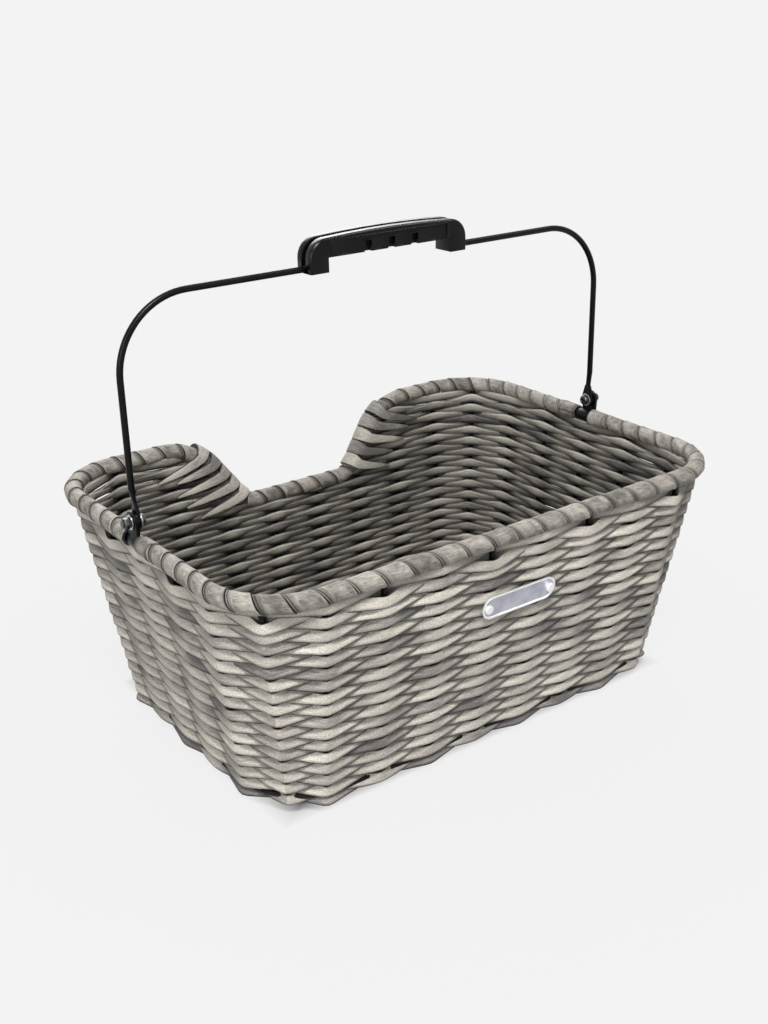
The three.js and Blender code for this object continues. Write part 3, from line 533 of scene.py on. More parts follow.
def swept_mesh(name, rings, closed, along, around):
    """A mesh swept through rings of points. A closed one meets itself, an open one is capped."""
    ring_count, section_count, _ = rings.shape
    mesh = bpy.data.meshes.new(name)
    spans = ring_count if closed else ring_count - 1
    ring = np.arange(spans)[:, None]
    corner = np.arange(section_count)[None, :]
    next_ring = (ring + 1) % ring_count
    next_corner = (corner + 1) % section_count
    quads = np.stack(
        (
            ring * section_count + corner,
            next_ring * section_count + corner,
            next_ring * section_count + next_corner,
            ring * section_count + next_corner,
        ),
        axis=-1,
    ).reshape(-1, 4)
    faces = quads.tolist()
    if not closed:
        last_ring = (ring_count - 1) * section_count
        faces.append(list(range(section_count)))
        faces.append([last_ring + index for index in reversed(range(section_count))])
    mesh.from_pydata(rings.reshape(-1, 3).tolist(), [], faces)
    map_strand(mesh, along[: spans + 1], around)
    mesh.polygons.foreach_set("use_smooth", [True] * len(mesh.polygons))
    mesh.update()
    return mesh


def store_value(mesh, name, values):
    """Keep a number from 0 to 1 at each point of a strand, for its material."""
    attribute = mesh.attributes.new(name, "FLOAT", "POINT")
    spread = np.broadcast_to(np.asarray(values, np.float32), (len(mesh.vertices),))
    attribute.data.foreach_set("value", spread.copy())


def strand_section(width, thickness):
    """A flat strand's section with rounded edges and a slight crown on its outer face."""
    quarter = [(0.5, 0.0), (0.493, 0.24), (0.465, 0.41), (0.41, 0.49), (0.2, 0.54)]
    outer = quarter + [(0.0, 0.56)] + [(-across, out) for across, out in reversed(quarter)]
    inner = [(-0.475, -0.34), (-0.41, -0.46), (-0.3, -0.45), (0.0, -0.44)]
    inner += [(0.3, -0.45), (0.4, -0.46), (0.475, -0.34)]
    return np.array(outer[::-1] + inner[::-1])[::-1] * (width, thickness)


def crevice_shade(places, signs, section):
    """Painted shade at each point of a woven strand, from 0 to 1: 0 on the crown where it passes a
    stake on that face, more where it dives under its neighbours, most of all inside the basket,
    and most along its edges, above all along the lower edge of the crown."""
    rounds = places % len(signs)
    from_front = np.abs((rounds + (signs[0] < 0)) % 2 - 1)
    on_outer_face = section[None, :, 1] > 0
    away = np.where(on_outer_face, 1 - from_front[:, None], from_front[:, None])
    dive = np.clip((away - 0.3) / 0.6, 0, 1) ** 1.5
    across = section[None, :, 0] / section[:, 0].max()
    lower_edge = np.clip((-across - 0.77) / 0.1, 0, 1)
    upper_edge = np.clip((across - 0.90) / 0.08, 0, 1) * 0.6
    share = np.where(on_outer_face, 0.26, 0.6)
    edges = (lower_edge + upper_edge) * np.where(on_outer_face, 1 - 0.6 * dive, 1)
    return np.clip(dive * share + edges, 0, 1).ravel()


def inside_shade(section):
    """1 along the lower edge of a strand's inner face, which the light from above misses, less
    on its middle and 0 along its upper edge."""
    across = section[:, 0] / section[:, 0].max()
    shade = np.interp(across, (-0.6, -0.3, 0.6, 0.95), (1.0, 0.6, 0.2, 0.0))
    return np.where(section[:, 1] < 0, shade, 0.0)


def distances_round(section):
    steps = np.linalg.norm(np.diff(np.vstack((section, section[:1])), axis=0), axis=1)
    return np.concatenate(((0.0,), np.cumsum(steps)))


def distances_along(points):
    return np.concatenate(((0.0,), np.cumsum(np.linalg.norm(np.diff(points, axis=0), axis=1))))


def rings_along(centres, across, face, section, width=1.0):
    """Rings of a section that lies square to a middle line."""
    return (
        centres[:, None, :]
        + across[:, None, :] * section[None, :, :1] * width
        + face[:, None, :] * section[None, :, 1:]
    )


def ride_and_replace(piece, body, slot, *nodes):
    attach(piece, body)
    if nodes:
        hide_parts(*nodes)
    return piece


# Materials


def new_material(name, roughness, metallic=0.0):
    material = bpy.data.materials.new(name)
    material.use_nodes = True
    nodes = material.node_tree.nodes
    shader = nodes["Principled BSDF"]
    shader.inputs["Roughness"].default_value = roughness
    shader.inputs["Metallic"].default_value = metallic
    return material, nodes, material.node_tree.links, shader


def noise(nodes, links, coordinates, scale, stretch=(1, 1, 1), detail=3.0, roughness=0.55):
    mapping = nodes.new("ShaderNodeMapping")
    mapping.inputs["Scale"].default_value = stretch
    texture = nodes.new("ShaderNodeTexNoise")
    texture.inputs["Scale"].default_value = scale
    texture.inputs["Detail"].default_value = detail
    texture.inputs["Roughness"].default_value = roughness
    links.new(coordinates, mapping.inputs["Vector"])
    links.new(mapping.outputs["Vector"], texture.inputs["Vector"])
    return texture.outputs["Fac"]


def calculate(nodes, links, operation, first, second):
    node = nodes.new("ShaderNodeMath")
    node.operation = operation
    for socket, value in zip(node.inputs, (first, second)):
        if isinstance(value, (int, float)):
            socket.default_value = value
        else:
            links.new(value, socket)
    return node.outputs[0]


def spread_range(nodes, links, value, low, high, new_low, new_high):
    node = nodes.new("ShaderNodeMapRange")
    links.new(value, node.inputs["Value"])
    limits = {"From Min": low, "From Max": high, "To Min": new_low, "To Max": new_high}
    for name, number in limits.items():
        node.inputs[name].default_value = number
    return node.outputs["Result"]


def ramp(nodes, links, value, stops):
    node = nodes.new("ShaderNodeValToRGB")
    elements = node.color_ramp.elements
    while len(elements) < len(stops):
        elements.new(0.5)
    for element, (place, colour) in zip(elements, stops):
        element.position = place
        element.color = (*colour, 1)
    links.new(value, node.inputs["Fac"])
    return node.outputs["Color"]


def scaled_colour(nodes, links, colour, factor):
    node = nodes.new("ShaderNodeVectorMath")
    node.operation = "SCALE"
    links.new(colour, node.inputs[0])
    links.new(factor, node.inputs["Scale"])
    return node.outputs["Vector"]


def bumped(nodes, links, shader, height, strength, distance):
    bump = nodes.new("ShaderNodeBump")
    bump.inputs["Strength"].default_value = strength
    bump.inputs["Distance"].default_value = distance
    links.new(height, bump.inputs["Height"])
    links.new(bump.outputs["Normal"], shader.inputs["Normal"])


def attribute_value(nodes, name):
    node = nodes.new("ShaderNodeAttribute")
    node.attribute_name = name
    return node.outputs["Fac"]


def shifted_place(nodes, links, tone):
    """Places along and around a strand, shifted by its tone so that no two are marked alike."""
    uv = nodes.new("ShaderNodeUVMap")
    uv.uv_map = "strand"
    shifted = nodes.new("ShaderNodeVectorMath")
    shifted.operation = "ADD"
    offset = nodes.new("ShaderNodeCombineXYZ")
    links.new(calculate(nodes, links, "MULTIPLY", tone, 913.0), offset.inputs["X"])
    links.new(calculate(nodes, links, "MULTIPLY", tone, 571.0), offset.inputs["Y"])
    links.new(uv.outputs["UV"], shifted.inputs[0])
    links.new(offset.outputs["Vector"], shifted.inputs[1])
    return shifted.outputs["Vector"]


def strand_light(nodes, links, streaks, speckle):
    """How light a strand is against its own colour: grained by the speckle, with painted shade in
    its crevices with a ragged edge, and painted shade on its inner face."""
    grain = spread_range(nodes, links, speckle, 0.3, 0.7, 0.5, 1.5)
    raggedness = spread_range(nodes, links, streaks, 0.3, 0.7, -0.18, 0.18)
    # Painted shade: darker in the crevices and along the edges, with a ragged edge, and darker on the inner face.
    painted_shade = calculate(nodes, links, "ADD", attribute_value(nodes, "painted_crevice_shade"), raggedness)
    painted_shade_factor = spread_range(nodes, links, painted_shade, 0.12, 0.75, 1.0, 0.1)
    inner_shade_factor = spread_range(nodes, links, attribute_value(nodes, "inside"), 0.0, 1.0, 1.0, 0.06)
    light = calculate(nodes, links, "MULTIPLY", grain, painted_shade_factor)
    return calculate(nodes, links, "MULTIPLY", light, inner_shade_factor)


def strand_material(name, stops, streakiness=0.22):
    """Mottled resin wicker. The tone attribute and slow noise along the strand choose its
    colour, stretched noise streaks it, fine speckle grains it, painted shade darkens its
    crevices and edges, and painted shade darkens its inner face."""
    material, nodes, links, shader = new_material(name, 0.62)
    shader.inputs["Specular IOR Level"].default_value = 0.32
    tone = attribute_value(nodes, "tone")
    place = shifted_place(nodes, links, tone)
    slow = noise(nodes, links, place, 0.16, (1, 0.2, 1), detail=1.0)
    streaks = noise(nodes, links, place, 8.0, (0.14, 1, 1), detail=4.0, roughness=0.65)
    speckle = noise(nodes, links, place, 11.0, (0.8, 1, 1), detail=3.0, roughness=0.85)
    slow_part = spread_range(nodes, links, slow, 0.32, 0.68, -0.36, 0.36)
    streak_part = spread_range(nodes, links, streaks, 0.3, 0.7, -streakiness, streakiness)
    shade = calculate(nodes, links, "ADD", tone, slow_part)
    shade = calculate(nodes, links, "ADD", shade, streak_part)
    colour = ramp(nodes, links, shade, stops)
    light = strand_light(nodes, links, streaks, speckle)
    links.new(scaled_colour(nodes, links, colour, light), shader.inputs["Base Color"])
    gloss = spread_range(nodes, links, streaks, 0.2, 0.8, 0.48, 0.7)
    links.new(gloss, shader.inputs["Roughness"])
    fine_part = calculate(nodes, links, "MULTIPLY", speckle, 0.6)
    surface = calculate(nodes, links, "ADD", streaks, fine_part)
    bumped(nodes, links, shader, surface, 0.5, 0.0005)
    return material


def solid_material(name, stops, patches, grain, gloss, bump, specular=0.5, metallic=0.0):
    """A finish for a solid piece. Patches choose its shade between the stops and how rough it
    is, and fine grain bumps it. Each of the two is a scale, a stretch and a detail."""
    material, nodes, links, shader = new_material(name, 0.5, metallic)
    shader.inputs["Specular IOR Level"].default_value = specular
    place = nodes.new("ShaderNodeTexCoord").outputs["Object"]
    patchiness = noise(nodes, links, place, *patches)
    links.new(ramp(nodes, links, patchiness, stops), shader.inputs["Base Color"])
    links.new(spread_range(nodes, links, patchiness, *gloss), shader.inputs["Roughness"])
    bumped(nodes, links, shader, noise(nodes, links, place, *grain), *bump)
    return material


def black_paint_material():
    """Satin black powder coat with a fine orange-peel surface."""
    stops = [(0.35, (0.0012, 0.0012, 0.0016)), (0.8, (0.0035, 0.0035, 0.0042))]
    wear = (60.0, (1, 1, 1), 4.0)
    peel = (900.0, (1, 1, 1), 2.0)
    gloss = (0.2, 0.8, 0.24, 0.36)
    return solid_material("black_powder_coat", stops, wear, peel, gloss, (0.12, 0.0003), 0.14)


def black_plastic_material():
    """Fine-grained black moulded plastic."""
    stops = [(0.3, (0.0012, 0.0012, 0.0016)), (0.75, (0.0035, 0.0035, 0.0044))]
    broad = (45.0, (1, 1, 1), 3.0)
    grain = (1600.0, (1, 1, 1), 2.0)
    gloss = (0.2, 0.8, 0.22, 0.32)
    return solid_material("black_moulded_plastic", stops, broad, grain, gloss, (0.25, 0.0003), 0.17)


def zinc_material(name="bright_zinc_plate", brightness=1.0):
    """Zinc plate with faint turning marks and dulled patches."""
    dull = tuple(channel * brightness for channel in (0.30, 0.303, 0.308))
    bright = tuple(channel * brightness for channel in (0.60, 0.605, 0.615))
    patches = (350.0, (1, 1, 1), 4.0)
    marks = (2600.0, (0.1, 1, 1), 2.0)
    gloss = (0.25, 0.75, 0.22, 0.42)
    stops = [(0.35, dull), (0.65, bright)]
    return solid_material(name, stops, patches, marks, gloss, (0.15, 0.0001), metallic=1.0)


def satin_metal_material(name, dull, bright):
    """Satin stamped metal, brushed along its length, with faint wear."""
    material, nodes, links, shader = new_material(name, 0.36, 0.8)
    place = nodes.new("ShaderNodeTexCoord").outputs["Object"]
    brushed = noise(nodes, links, place, 2200.0, (0.06, 1, 1), 3.0)
    patches = noise(nodes, links, place, 120.0, (1, 1, 1), 3.0)
    shade = ramp(nodes, links, patches, [(0.3, dull), (0.7, bright)])
    links.new(shade, shader.inputs["Base Color"])
    gloss = spread_range(nodes, links, brushed, 0.25, 0.75, 0.3, 0.46)
    links.new(gloss, shader.inputs["Roughness"])
    bumped(nodes, links, shader, brushed, 0.12, 0.0001)
    return material


def set_material(piece, material):
    piece.data.materials.clear()
    piece.data.materials.append(material)


def add_strand(mesh, material, shades, slot, *nodes):
    """Make a strand's mesh a piece, with its shades (tone, crevice and inside) and finish."""
    for name, values in shades.items():
        store_value(mesh, name, values)
    piece = add_object(mesh.name, mesh)
    set_material(piece, material)
    return ride_and_replace(piece, "basket", slot, *nodes)


# Modelling with operators


def stop_editing():
    bpy.ops.object.mode_set(mode="OBJECT")


def deselect_all():
    if bpy.context.object and bpy.context.object.mode == "EDIT":
        stop_editing()
    bpy.ops.object.select_all(action="DESELECT")


def make_active(piece):
    deselect_all()
    piece.select_set(True)
    bpy.context.view_layer.objects.active = piece


def start_editing(piece):
    make_active(piece)
    bpy.ops.object.mode_set(mode="EDIT")
    bpy.ops.mesh.select_all(action="SELECT")


def select_faces(piece, wanted):
    """Select the faces whose middle and normal pass a test, and nothing else."""
    bpy.ops.mesh.select_mode(type="FACE")
    bpy.ops.mesh.select_all(action="DESELECT")
    mesh = bmesh.from_edit_mesh(piece.data)
    for face in mesh.faces:
        face.select_set(bool(wanted(face.calc_center_median(), face.normal)))
    bmesh.update_edit_mesh(piece.data)


def select_edges(piece, wanted):
    """Select the edges whose two ends pass a test, and nothing else."""
    bpy.ops.mesh.select_mode(type="EDGE")
    bpy.ops.mesh.select_all(action="DESELECT")
    mesh = bmesh.from_edit_mesh(piece.data)
    for edge in mesh.edges:
        edge.select_set(bool(wanted(edge.verts[0].co, edge.verts[1].co)))
    bmesh.update_edit_mesh(piece.data)


def select_points(piece, wanted):
    """Select the points that pass a test, and nothing else."""
    bpy.ops.mesh.select_mode(type="VERT")
    bpy.ops.mesh.select_all(action="DESELECT")
    mesh = bmesh.from_edit_mesh(piece.data)
    for point in mesh.verts:
        point.select_set(bool(wanted(point.co)))
    mesh.select_flush(True)
    bmesh.update_edit_mesh(piece.data)


def selected_places(piece):
    mesh = bmesh.from_edit_mesh(piece.data)
    return [point.co.copy() for point in mesh.verts if point.select]


def extrude(*offset):
    bpy.ops.mesh.extrude_region_move(TRANSFORM_OT_translate={"value": offset})


def extrude_edges(*offset):
    bpy.ops.mesh.extrude_edges_move(TRANSFORM_OT_translate={"value": offset})


def resize(factors, centre):
    bpy.ops.transform.resize(value=factors, center_override=centre)


def spin(centre, axis, angle, steps):
    """Spin the selection anticlockwise about an axis that points at the viewer."""
    bpy.ops.mesh.spin(steps=steps, angle=-angle, center=centre, axis=axis)


def add_modifier(piece, kind, **values):
    make_active(piece)
    modifier = piece.modifiers.new(kind.title(), kind)
    for name, value in values.items():
        setattr(modifier, name, value)
    bpy.ops.object.modifier_apply(modifier=modifier.name)


def round_edges(piece, width, segments=2, angle=30):
    limit = math.radians(angle)
    add_modifier(
        piece, "BEVEL", width=width, segments=segments, limit_method="ANGLE", angle_limit=limit
    )


def combine(piece, other, operation):
    """Join another piece to this one, or take it out of this one, and remove it."""
    add_modifier(piece, "BOOLEAN", operation=operation, solver="EXACT", object=other)
    bpy.data.objects.remove(other)


def apply_place(piece):
    make_active(piece)
    bpy.ops.object.transform_apply(location=True, rotation=True, scale=True)


def add_disc(radius, place, across=None, vertices=40):
    """A round face. It faces up, or along X where it lies across that axis."""
    turn = (0, math.pi / 2, 0) if across == "X" else (0, 0, 0)
    deselect_all()
    bpy.ops.mesh.primitive_circle_add(
        vertices=vertices, radius=radius, fill_type="NGON", location=place, rotation=turn
    )
    disc = bpy.context.object
    apply_place(disc)
    return disc


def add_rod(radius, start, length, vertices=40):
    """A round rod that runs along X from a starting place."""
    rod = add_disc(radius, start, "X", vertices)
    start_editing(rod)
    extrude(length, 0, 0)
    close_mesh()
    stop_editing()
    return rod


def close_mesh():
    """Merge what meets, close what is open and turn every face outwards, in edit mode."""
    bpy.ops.mesh.select_all(action="SELECT")
    bpy.ops.mesh.remove_doubles(threshold=MERGE_DISTANCE)
    bpy.ops.mesh.fill_holes(sides=0)
    bpy.ops.mesh.normals_make_consistent(inside=False)


def finish_piece(piece, name, material, body, slot, *nodes, smooth_angle=35):
    """Smooth and name a piece, and put it in the place of the nodes that it stands for."""
    apply_place(piece)
    start_editing(piece)
    bpy.ops.mesh.remove_doubles(threshold=MERGE_DISTANCE)
    bpy.ops.mesh.normals_make_consistent(inside=False)
    stop_editing()
    bpy.ops.object.shade_smooth_by_angle(angle=math.radians(smooth_angle))
    piece.name = name
    piece.data.name = name
    set_material(piece, material)
    return ride_and_replace(piece, body, slot, *nodes)


def turned_copy(piece, angle):
    """A copy of a piece with its own mesh, turned about the basket's upright middle line."""
    copy = add_object(piece.name, piece.data.copy())
    copy.matrix_world = Matrix.Rotation(angle, 4, "Z")
    return copy


def merged_copy(node):
    """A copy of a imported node, with its loose triangles joined into whole flat faces."""
    copy = add_object(node, frame["nodes"][node].data.copy())
    start_editing(copy)
    bpy.ops.mesh.remove_doubles(threshold=MERGE_DISTANCE)
    bpy.ops.mesh.dissolve_limited(angle_limit=math.radians(1))
    stop_editing()
    return copy


# Handle


def flatten_foot(wire, settings, span):
    """Draw the wire's selected foot down into its eye, thinner and a little wider at each step."""
    flat_middle = RIM_HALF[0] + settings.eye_offset - settings.eye_thickness / 2
    steps = 5
    into_eye = 0.001
    wider = 1.02
    thinner = (settings.eye_thickness / settings.wire_width) ** (1 / steps)
    for _ in range(steps):
        extrude((flat_middle - span) / steps, 0, -(settings.flattening + into_eye) / steps)
        places = selected_places(wire)
        resize((thinner, wider, 1), sum(places, Vector()) / len(places))


def bent_wire(settings):
    """Half of the handle's wire: a round face extruded up from its eye, spun round the corner
    and up into the grip, and flattened at its foot."""
    span = RIM_HALF[0] + settings.outset
    radius = settings.wire_width / 2
    level = PIVOT.z + settings.height
    corner = settings.corner_radius
    foot = PIVOT.z + settings.neck_height + settings.flattening
    wire = add_disc(radius, (span, 0, foot), vertices=24)
    start_editing(wire)
    extrude(0, 0, level - corner - foot)
    spin((span - corner, 0, level - corner), (0, -1, 0), math.pi / 2, 20)
    bend = settings.grip_bend_radius
    slope = settings.grip_bend_angle
    tangent = bend * math.tan(slope / 2)
    rise = settings.grip_wire_rise
    run = rise / math.tan(slope)
    inner = settings.grip_wire_half
    extrude(inner + tangent - (span - corner), 0, 0)
    spin((inner + tangent, 0, level + bend), (0, 1, 0), slope, 6)
    length = math.hypot(rise, run) - 2 * tangent
    extrude(-length * math.cos(slope), 0, length * math.sin(slope))
    spin((inner - run - tangent, 0, level + rise - bend), (0, -1, 0), slope, 6)
    extrude(-(inner - run - tangent), 0, 0)
    bpy.ops.mesh.delete(type="ONLY_FACE")
    select_points(wire, lambda point: point.z < foot + SAME_PLACE)
    flatten_foot(wire, settings, span)
    stop_editing()
    return wire


def wire_eye(settings, bolt_width):
    """The flattened end of the wire: a round eye whose sides draw in to the neck."""
    outer = RIM_HALF[0] + settings.eye_offset
    radius = settings.eye_radius
    eye = add_disc(radius, (outer, 0, PIVOT.z), "X", 48)
    start_editing(eye)
    narrow = settings.wire_width / 2 + 0.0002
    shoulder = radius * (radius - narrow) / settings.neck_height
    cut = (0, 0, PIVOT.z + shoulder)
    bpy.ops.mesh.bisect(plane_co=cut, plane_no=(0, 0, 1), clear_outer=True)
    select_points(eye, lambda point: point.z > PIVOT.z + shoulder - SAME_PLACE)
    extrude_edges(0, 0, settings.neck_height - shoulder)
    width = max(abs(place.y) for place in selected_places(eye))
    resize((1, narrow / width, 1), (outer, 0, PIVOT.z + settings.neck_height))
    bpy.ops.mesh.select_all(action="SELECT")
    extrude(-settings.eye_thickness, 0, 0)
    close_mesh()
    stop_editing()
    round_edges(eye, EYE_EDGE)
    hole = add_rod(bolt_width / 2 + HOLE_CLEARANCE, (outer - 0.01, 0, PIVOT.z), 0.02)
    combine(eye, hole, "DIFFERENCE")
    return eye


class BASKET_OT_bend_handle(bpy.types.Operator):
    """Bend the handle's wire and flatten its ends into eyes"""

    bl_idname = "basket.bend_handle"
    bl_label = "Bend handle"

    def execute(self, context):
        settings = context.scene.basket_handle
        wire = bent_wire(settings)
        add_modifier(wire, "MIRROR", use_axis=(True, False, False), merge_threshold=SAME_PLACE)
        start_editing(wire)
        close_mesh()
        stop_editing()
        eye = wire_eye(settings, context.scene.basket_hinge.bolt_width)
        far_eye = turned_copy(eye, math.pi)
        apply_place(far_eye)
        for end in (eye, far_eye):
            combine(wire, end, "UNION")
        paint = bpy.data.materials["black_powder_coat"]
        finish_piece(wire, "handle_bent_wire", paint, HANDLE_BODY, "black_steel", "handle_wire")
        return {"FINISHED"}


def chamfer_crown(grip, settings, low, high):
    """Chamfer the grip's crown and rounded corners along both of its sides."""
    corner_start = high.x - settings.grip_corner_radius

    def on_crown(point):
        return point.z > high.z - settings.crown_band or abs(point.x) > corner_start

    for face_y in (low.y, high.y):
        select_edges(
            grip,
            lambda a, b: max(abs(a.y - face_y), abs(b.y - face_y)) < SAME_PLACE
            and on_crown(a)
            and on_crown(b)
            and max(a.z, b.z) > low.z + SAME_PLACE,
        )
        bpy.ops.mesh.bevel(
            offset=settings.crown_chamfer, segments=1, affect="EDGES", clamp_overlap=False
        )


def sink_panel(grip, settings, side, face_y, panel_end, panel_top):
    """Cut a panel out of one side of the grip, and sink it inside a raised lip."""

    def on_side(middle, normal):
        return normal.y * side > 0.99 and abs(middle.y - face_y) < SAME_PLACE

    cuts = (
        ((panel_end, 0, 0), (1, 0, 0)),
        ((-panel_end, 0, 0), (1, 0, 0)),
        ((0, 0, panel_top), (0, 0, 1)),
    )
    for place, direction in cuts:
        select_faces(grip, on_side)
        bpy.ops.mesh.bisect(plane_co=place, plane_no=direction)
    select_faces(
        grip,
        lambda middle, normal: on_side(middle, normal)
        and abs(middle.x) < panel_end
        and middle.z < panel_top,
    )
    bpy.ops.mesh.inset(thickness=settings.panel_draft, depth=settings.lip_height)
    bpy.ops.mesh.inset(thickness=settings.lip_width, depth=0)
    bpy.ops.mesh.inset(thickness=settings.panel_draft, depth=-settings.panel_depth)


def shaped_grip(settings):
    """The moulded grip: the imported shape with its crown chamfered, a sunk panel with a lip on
    each side and rounded edges."""
    grip = merged_copy("handle_grip")
    low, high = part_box("handle_grip")
    start_editing(grip)
    chamfer_crown(grip, settings, low, high)
    panel_end = high.x - settings.panel_inset
    panel_top = high.z - settings.panel_drop
    for side, face_y in ((-1, low.y), (1, high.y)):
        sink_panel(grip, settings, side, face_y, panel_end, panel_top)
    stop_editing()
    round_edges(grip, settings.grip_edge, 2, 40)
    return grip


class BASKET_OT_mould_grip(bpy.types.Operator):
    """Mould the grip, with its sunk side panels and finger notches"""

    bl_idname = "basket.mould_grip"
    bl_label = "Mould grip"

    def execute(self, context):
        grip = shaped_grip(context.scene.basket_handle)
        plastic = bpy.data.materials["black_moulded_plastic"]
        finish_piece(grip, "moulded_grip", plastic, HANDLE_BODY, "black_plastic", "handle_grip")
        return {"FINISHED"}


# Hinges


def bored_ring(start, length, radius, bore, vertices=40):
    """A flat ring across the X axis at the pivot: a short rod whose two faces are inset to the
    bore and bridged."""
    ring = add_rod(radius, (start, 0, PIVOT.z), length, vertices)
    start_editing(ring)
    select_faces(ring, lambda middle, normal: abs(normal.x) > 0.9)
    bpy.ops.mesh.inset(thickness=(radius - bore) * math.cos(math.pi / vertices), depth=0)
    bpy.ops.mesh.bridge_edge_loops()
    stop_editing()
    return ring


def hinge_tab(settings):
    """The bracket's upright tab: a round face cut square, drawn down to the rim and thickened."""
    inner = RIM_HALF[0] + settings.tab_offset
    tab = add_disc(settings.tab_radius, (inner, 0, PIVOT.z), "X", 48)
    start_editing(tab)
    bpy.ops.mesh.bisect(plane_co=(0, 0, PIVOT.z), plane_no=(0, 0, -1), clear_outer=True)
    select_points(tab, lambda point: point.z < PIVOT.z + SAME_PLACE)
    foot = RIM_LEVEL + RING_RADIUS
    extrude_edges(0, 0, foot - PIVOT.z)
    resize((1, settings.tab_foot_share, 1), (inner, 0, foot))
    bpy.ops.mesh.select_all(action="SELECT")
    extrude(settings.tab_thickness, 0, 0)
    close_mesh()
    stop_editing()
    return tab


def hinge_bracket(settings):
    """A strap curled round the rim ring, with the tab standing on it and a hole for the bolt."""
    bore = RING_RADIUS + STRAP_CLEARANCE
    strap = bored_ring(0, settings.strap_length, settings.strap_radius, bore)
    strap.matrix_world = Matrix.Translation((RIM_HALF[0], -settings.strap_start, RIM_LEVEL)) @ (
        Matrix.Rotation(math.pi / 2, 4, "Z") @ Matrix.Translation((0, 0, -PIVOT.z))
    )
    apply_place(strap)
    combine(strap, hinge_tab(settings), "UNION")
    hole = add_rod(settings.bolt_width / 2 + HOLE_CLEARANCE, (RIM_HALF[0] - 0.01, 0, PIVOT.z), 0.03)
    combine(strap, hole, "DIFFERENCE")
    round_edges(strap, BRACKET_EDGE)
    return strap


def pivot_bolt(settings):
    """A button-headed bolt: a short rod with a domed rim and a socket, drawn out to its shank."""
    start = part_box("pivot_bolt_right")[0].x
    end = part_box("pivot_bolt_right")[1].x
    radius = settings.bolt_head_width / 2
    bolt = add_rod(radius, (start, 0, PIVOT.z), settings.bolt_head_height)
    start_editing(bolt)
    select_faces(bolt, lambda middle, normal: normal.x > 0.9)
    bpy.ops.mesh.inset(thickness=radius - settings.bolt_width / 2, depth=0)
    extrude(end - start - settings.bolt_head_height, 0, 0)
    select_edges(bolt, lambda a, b: max(a.x, b.x) < start + SAME_PLACE)
    bpy.ops.mesh.bevel(offset=settings.bolt_head_rounding, segments=5, profile=0.5, affect="EDGES")
    select_faces(bolt, lambda middle, normal: normal.x < -0.99)
    bpy.ops.mesh.inset(thickness=settings.socket_rim, depth=0)
    bpy.ops.mesh.inset(thickness=0.0002, depth=-0.0003)
    extrude(settings.socket_depth, 0, 0)
    stop_editing()
    return bolt


def pivot_nut(settings):
    low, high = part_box("pivot_nut_right")
    bore = settings.bolt_width / 2 + HOLE_CLEARANCE
    nut = bored_ring(low.x, high.x - low.x, settings.nut_width / 2, bore, 6)
    round_edges(nut, NUT_EDGE, 3)
    return nut


def washer(node, settings):
    low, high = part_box(node)
    bore = settings.bolt_width / 2 + HOLE_CLEARANCE
    ring = bored_ring(low.x, high.x - low.x, (high.z - low.z) / 2, bore)
    round_edges(ring, WASHER_EDGE)
    return ring


class BASKET_OT_fit_hinges(bpy.types.Operator):
    """Make the right hinge's bracket, bolt, nut and washers, and turned copies for the left one"""

    bl_idname = "basket.fit_hinges"
    bl_label = "Fit hinges"

    def execute(self, context):
        settings = context.scene.basket_hinge
        paint = bpy.data.materials["black_powder_coat"]
        zinc = bpy.data.materials["bright_zinc_plate"]
        # A darker copy of the zinc plate, as painted shade on the bolts and nuts.
        shaded_zinc = zinc_material("shaded_zinc_plate", 0.2)
        pieces = {
            "hinge_bracket": (hinge_bracket(settings), paint, "black_steel"),
            "pivot_bolt": (pivot_bolt(settings), shaded_zinc, "zinc_steel"),
            "pivot_nut": (pivot_nut(settings), shaded_zinc, "zinc_steel"),
            "inner_washer": (washer("inner_washer_right", settings), zinc, "zinc_steel"),
            "outer_washer": (washer("outer_washer_right", settings), zinc, "zinc_steel"),
        }
        for name, (piece, material, slot) in pieces.items():
            for end, copy in (("left", turned_copy(piece, math.pi)), ("right", piece)):
                node = f"{name}_{end}"
                finish_piece(copy, f"finished_{node}", material, "basket", slot, node)
        return {"FINISHED"}


# Badge


def badge_frame():
    """The middle of the badge, with local Z out of the leaning wall."""
    low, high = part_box("badge_plate")
    lean = math.atan2(RIM_HALF[1] - FOOT_HALF[1], WALL_HEIGHT)
    turn = Matrix.Rotation(math.pi / 2 + lean, 4, "X")
    return Matrix.Translation((low + high) / 2) @ turn


def badge_plate(settings):
    """A bare plate with round ends, a raised rim and a sunk field."""
    radius = settings.height / 2
    plate = add_disc(radius, (0, 0, -settings.thickness / 2), vertices=64)
    straight = (settings.length - settings.height) / 2
    start_editing(plate)
    for side in (-1, 1):
        select_points(plate, lambda point: SAME_PLACE < point.x * side <= radius + SAME_PLACE)
        bpy.ops.transform.translate(value=(side * straight, 0, 0))
    bpy.ops.mesh.select_all(action="SELECT")
    extrude(0, 0, settings.thickness)
    close_mesh()
    select_faces(plate, lambda middle, normal: normal.z > 0.9 and middle.z > 0)
    bpy.ops.mesh.inset(thickness=settings.rim_width, depth=0)
    bpy.ops.mesh.inset(thickness=settings.field_slope, depth=-settings.sink)
    stop_editing()
    round_edges(plate, settings.edge_rounding, 3, 40)
    return plate


def paint_badge_field(plate, material, settings):
    """Give the sunk field a finish of its own, in a second material slot."""
    plate.data.materials.append(material)
    field_level = settings.thickness / 2 - settings.sink
    place = badge_frame()
    outwards = place.to_3x3() @ Vector((0, 0, 1))
    origin = place.translation
    start_editing(plate)
    select_faces(
        plate,
        lambda middle, normal: normal.dot(outwards) > 0.9
        and (middle - origin).dot(outwards) < field_level + settings.sink / 3,
    )
    plate.active_material_index = 1
    bpy.ops.object.material_slot_assign()
    stop_editing()


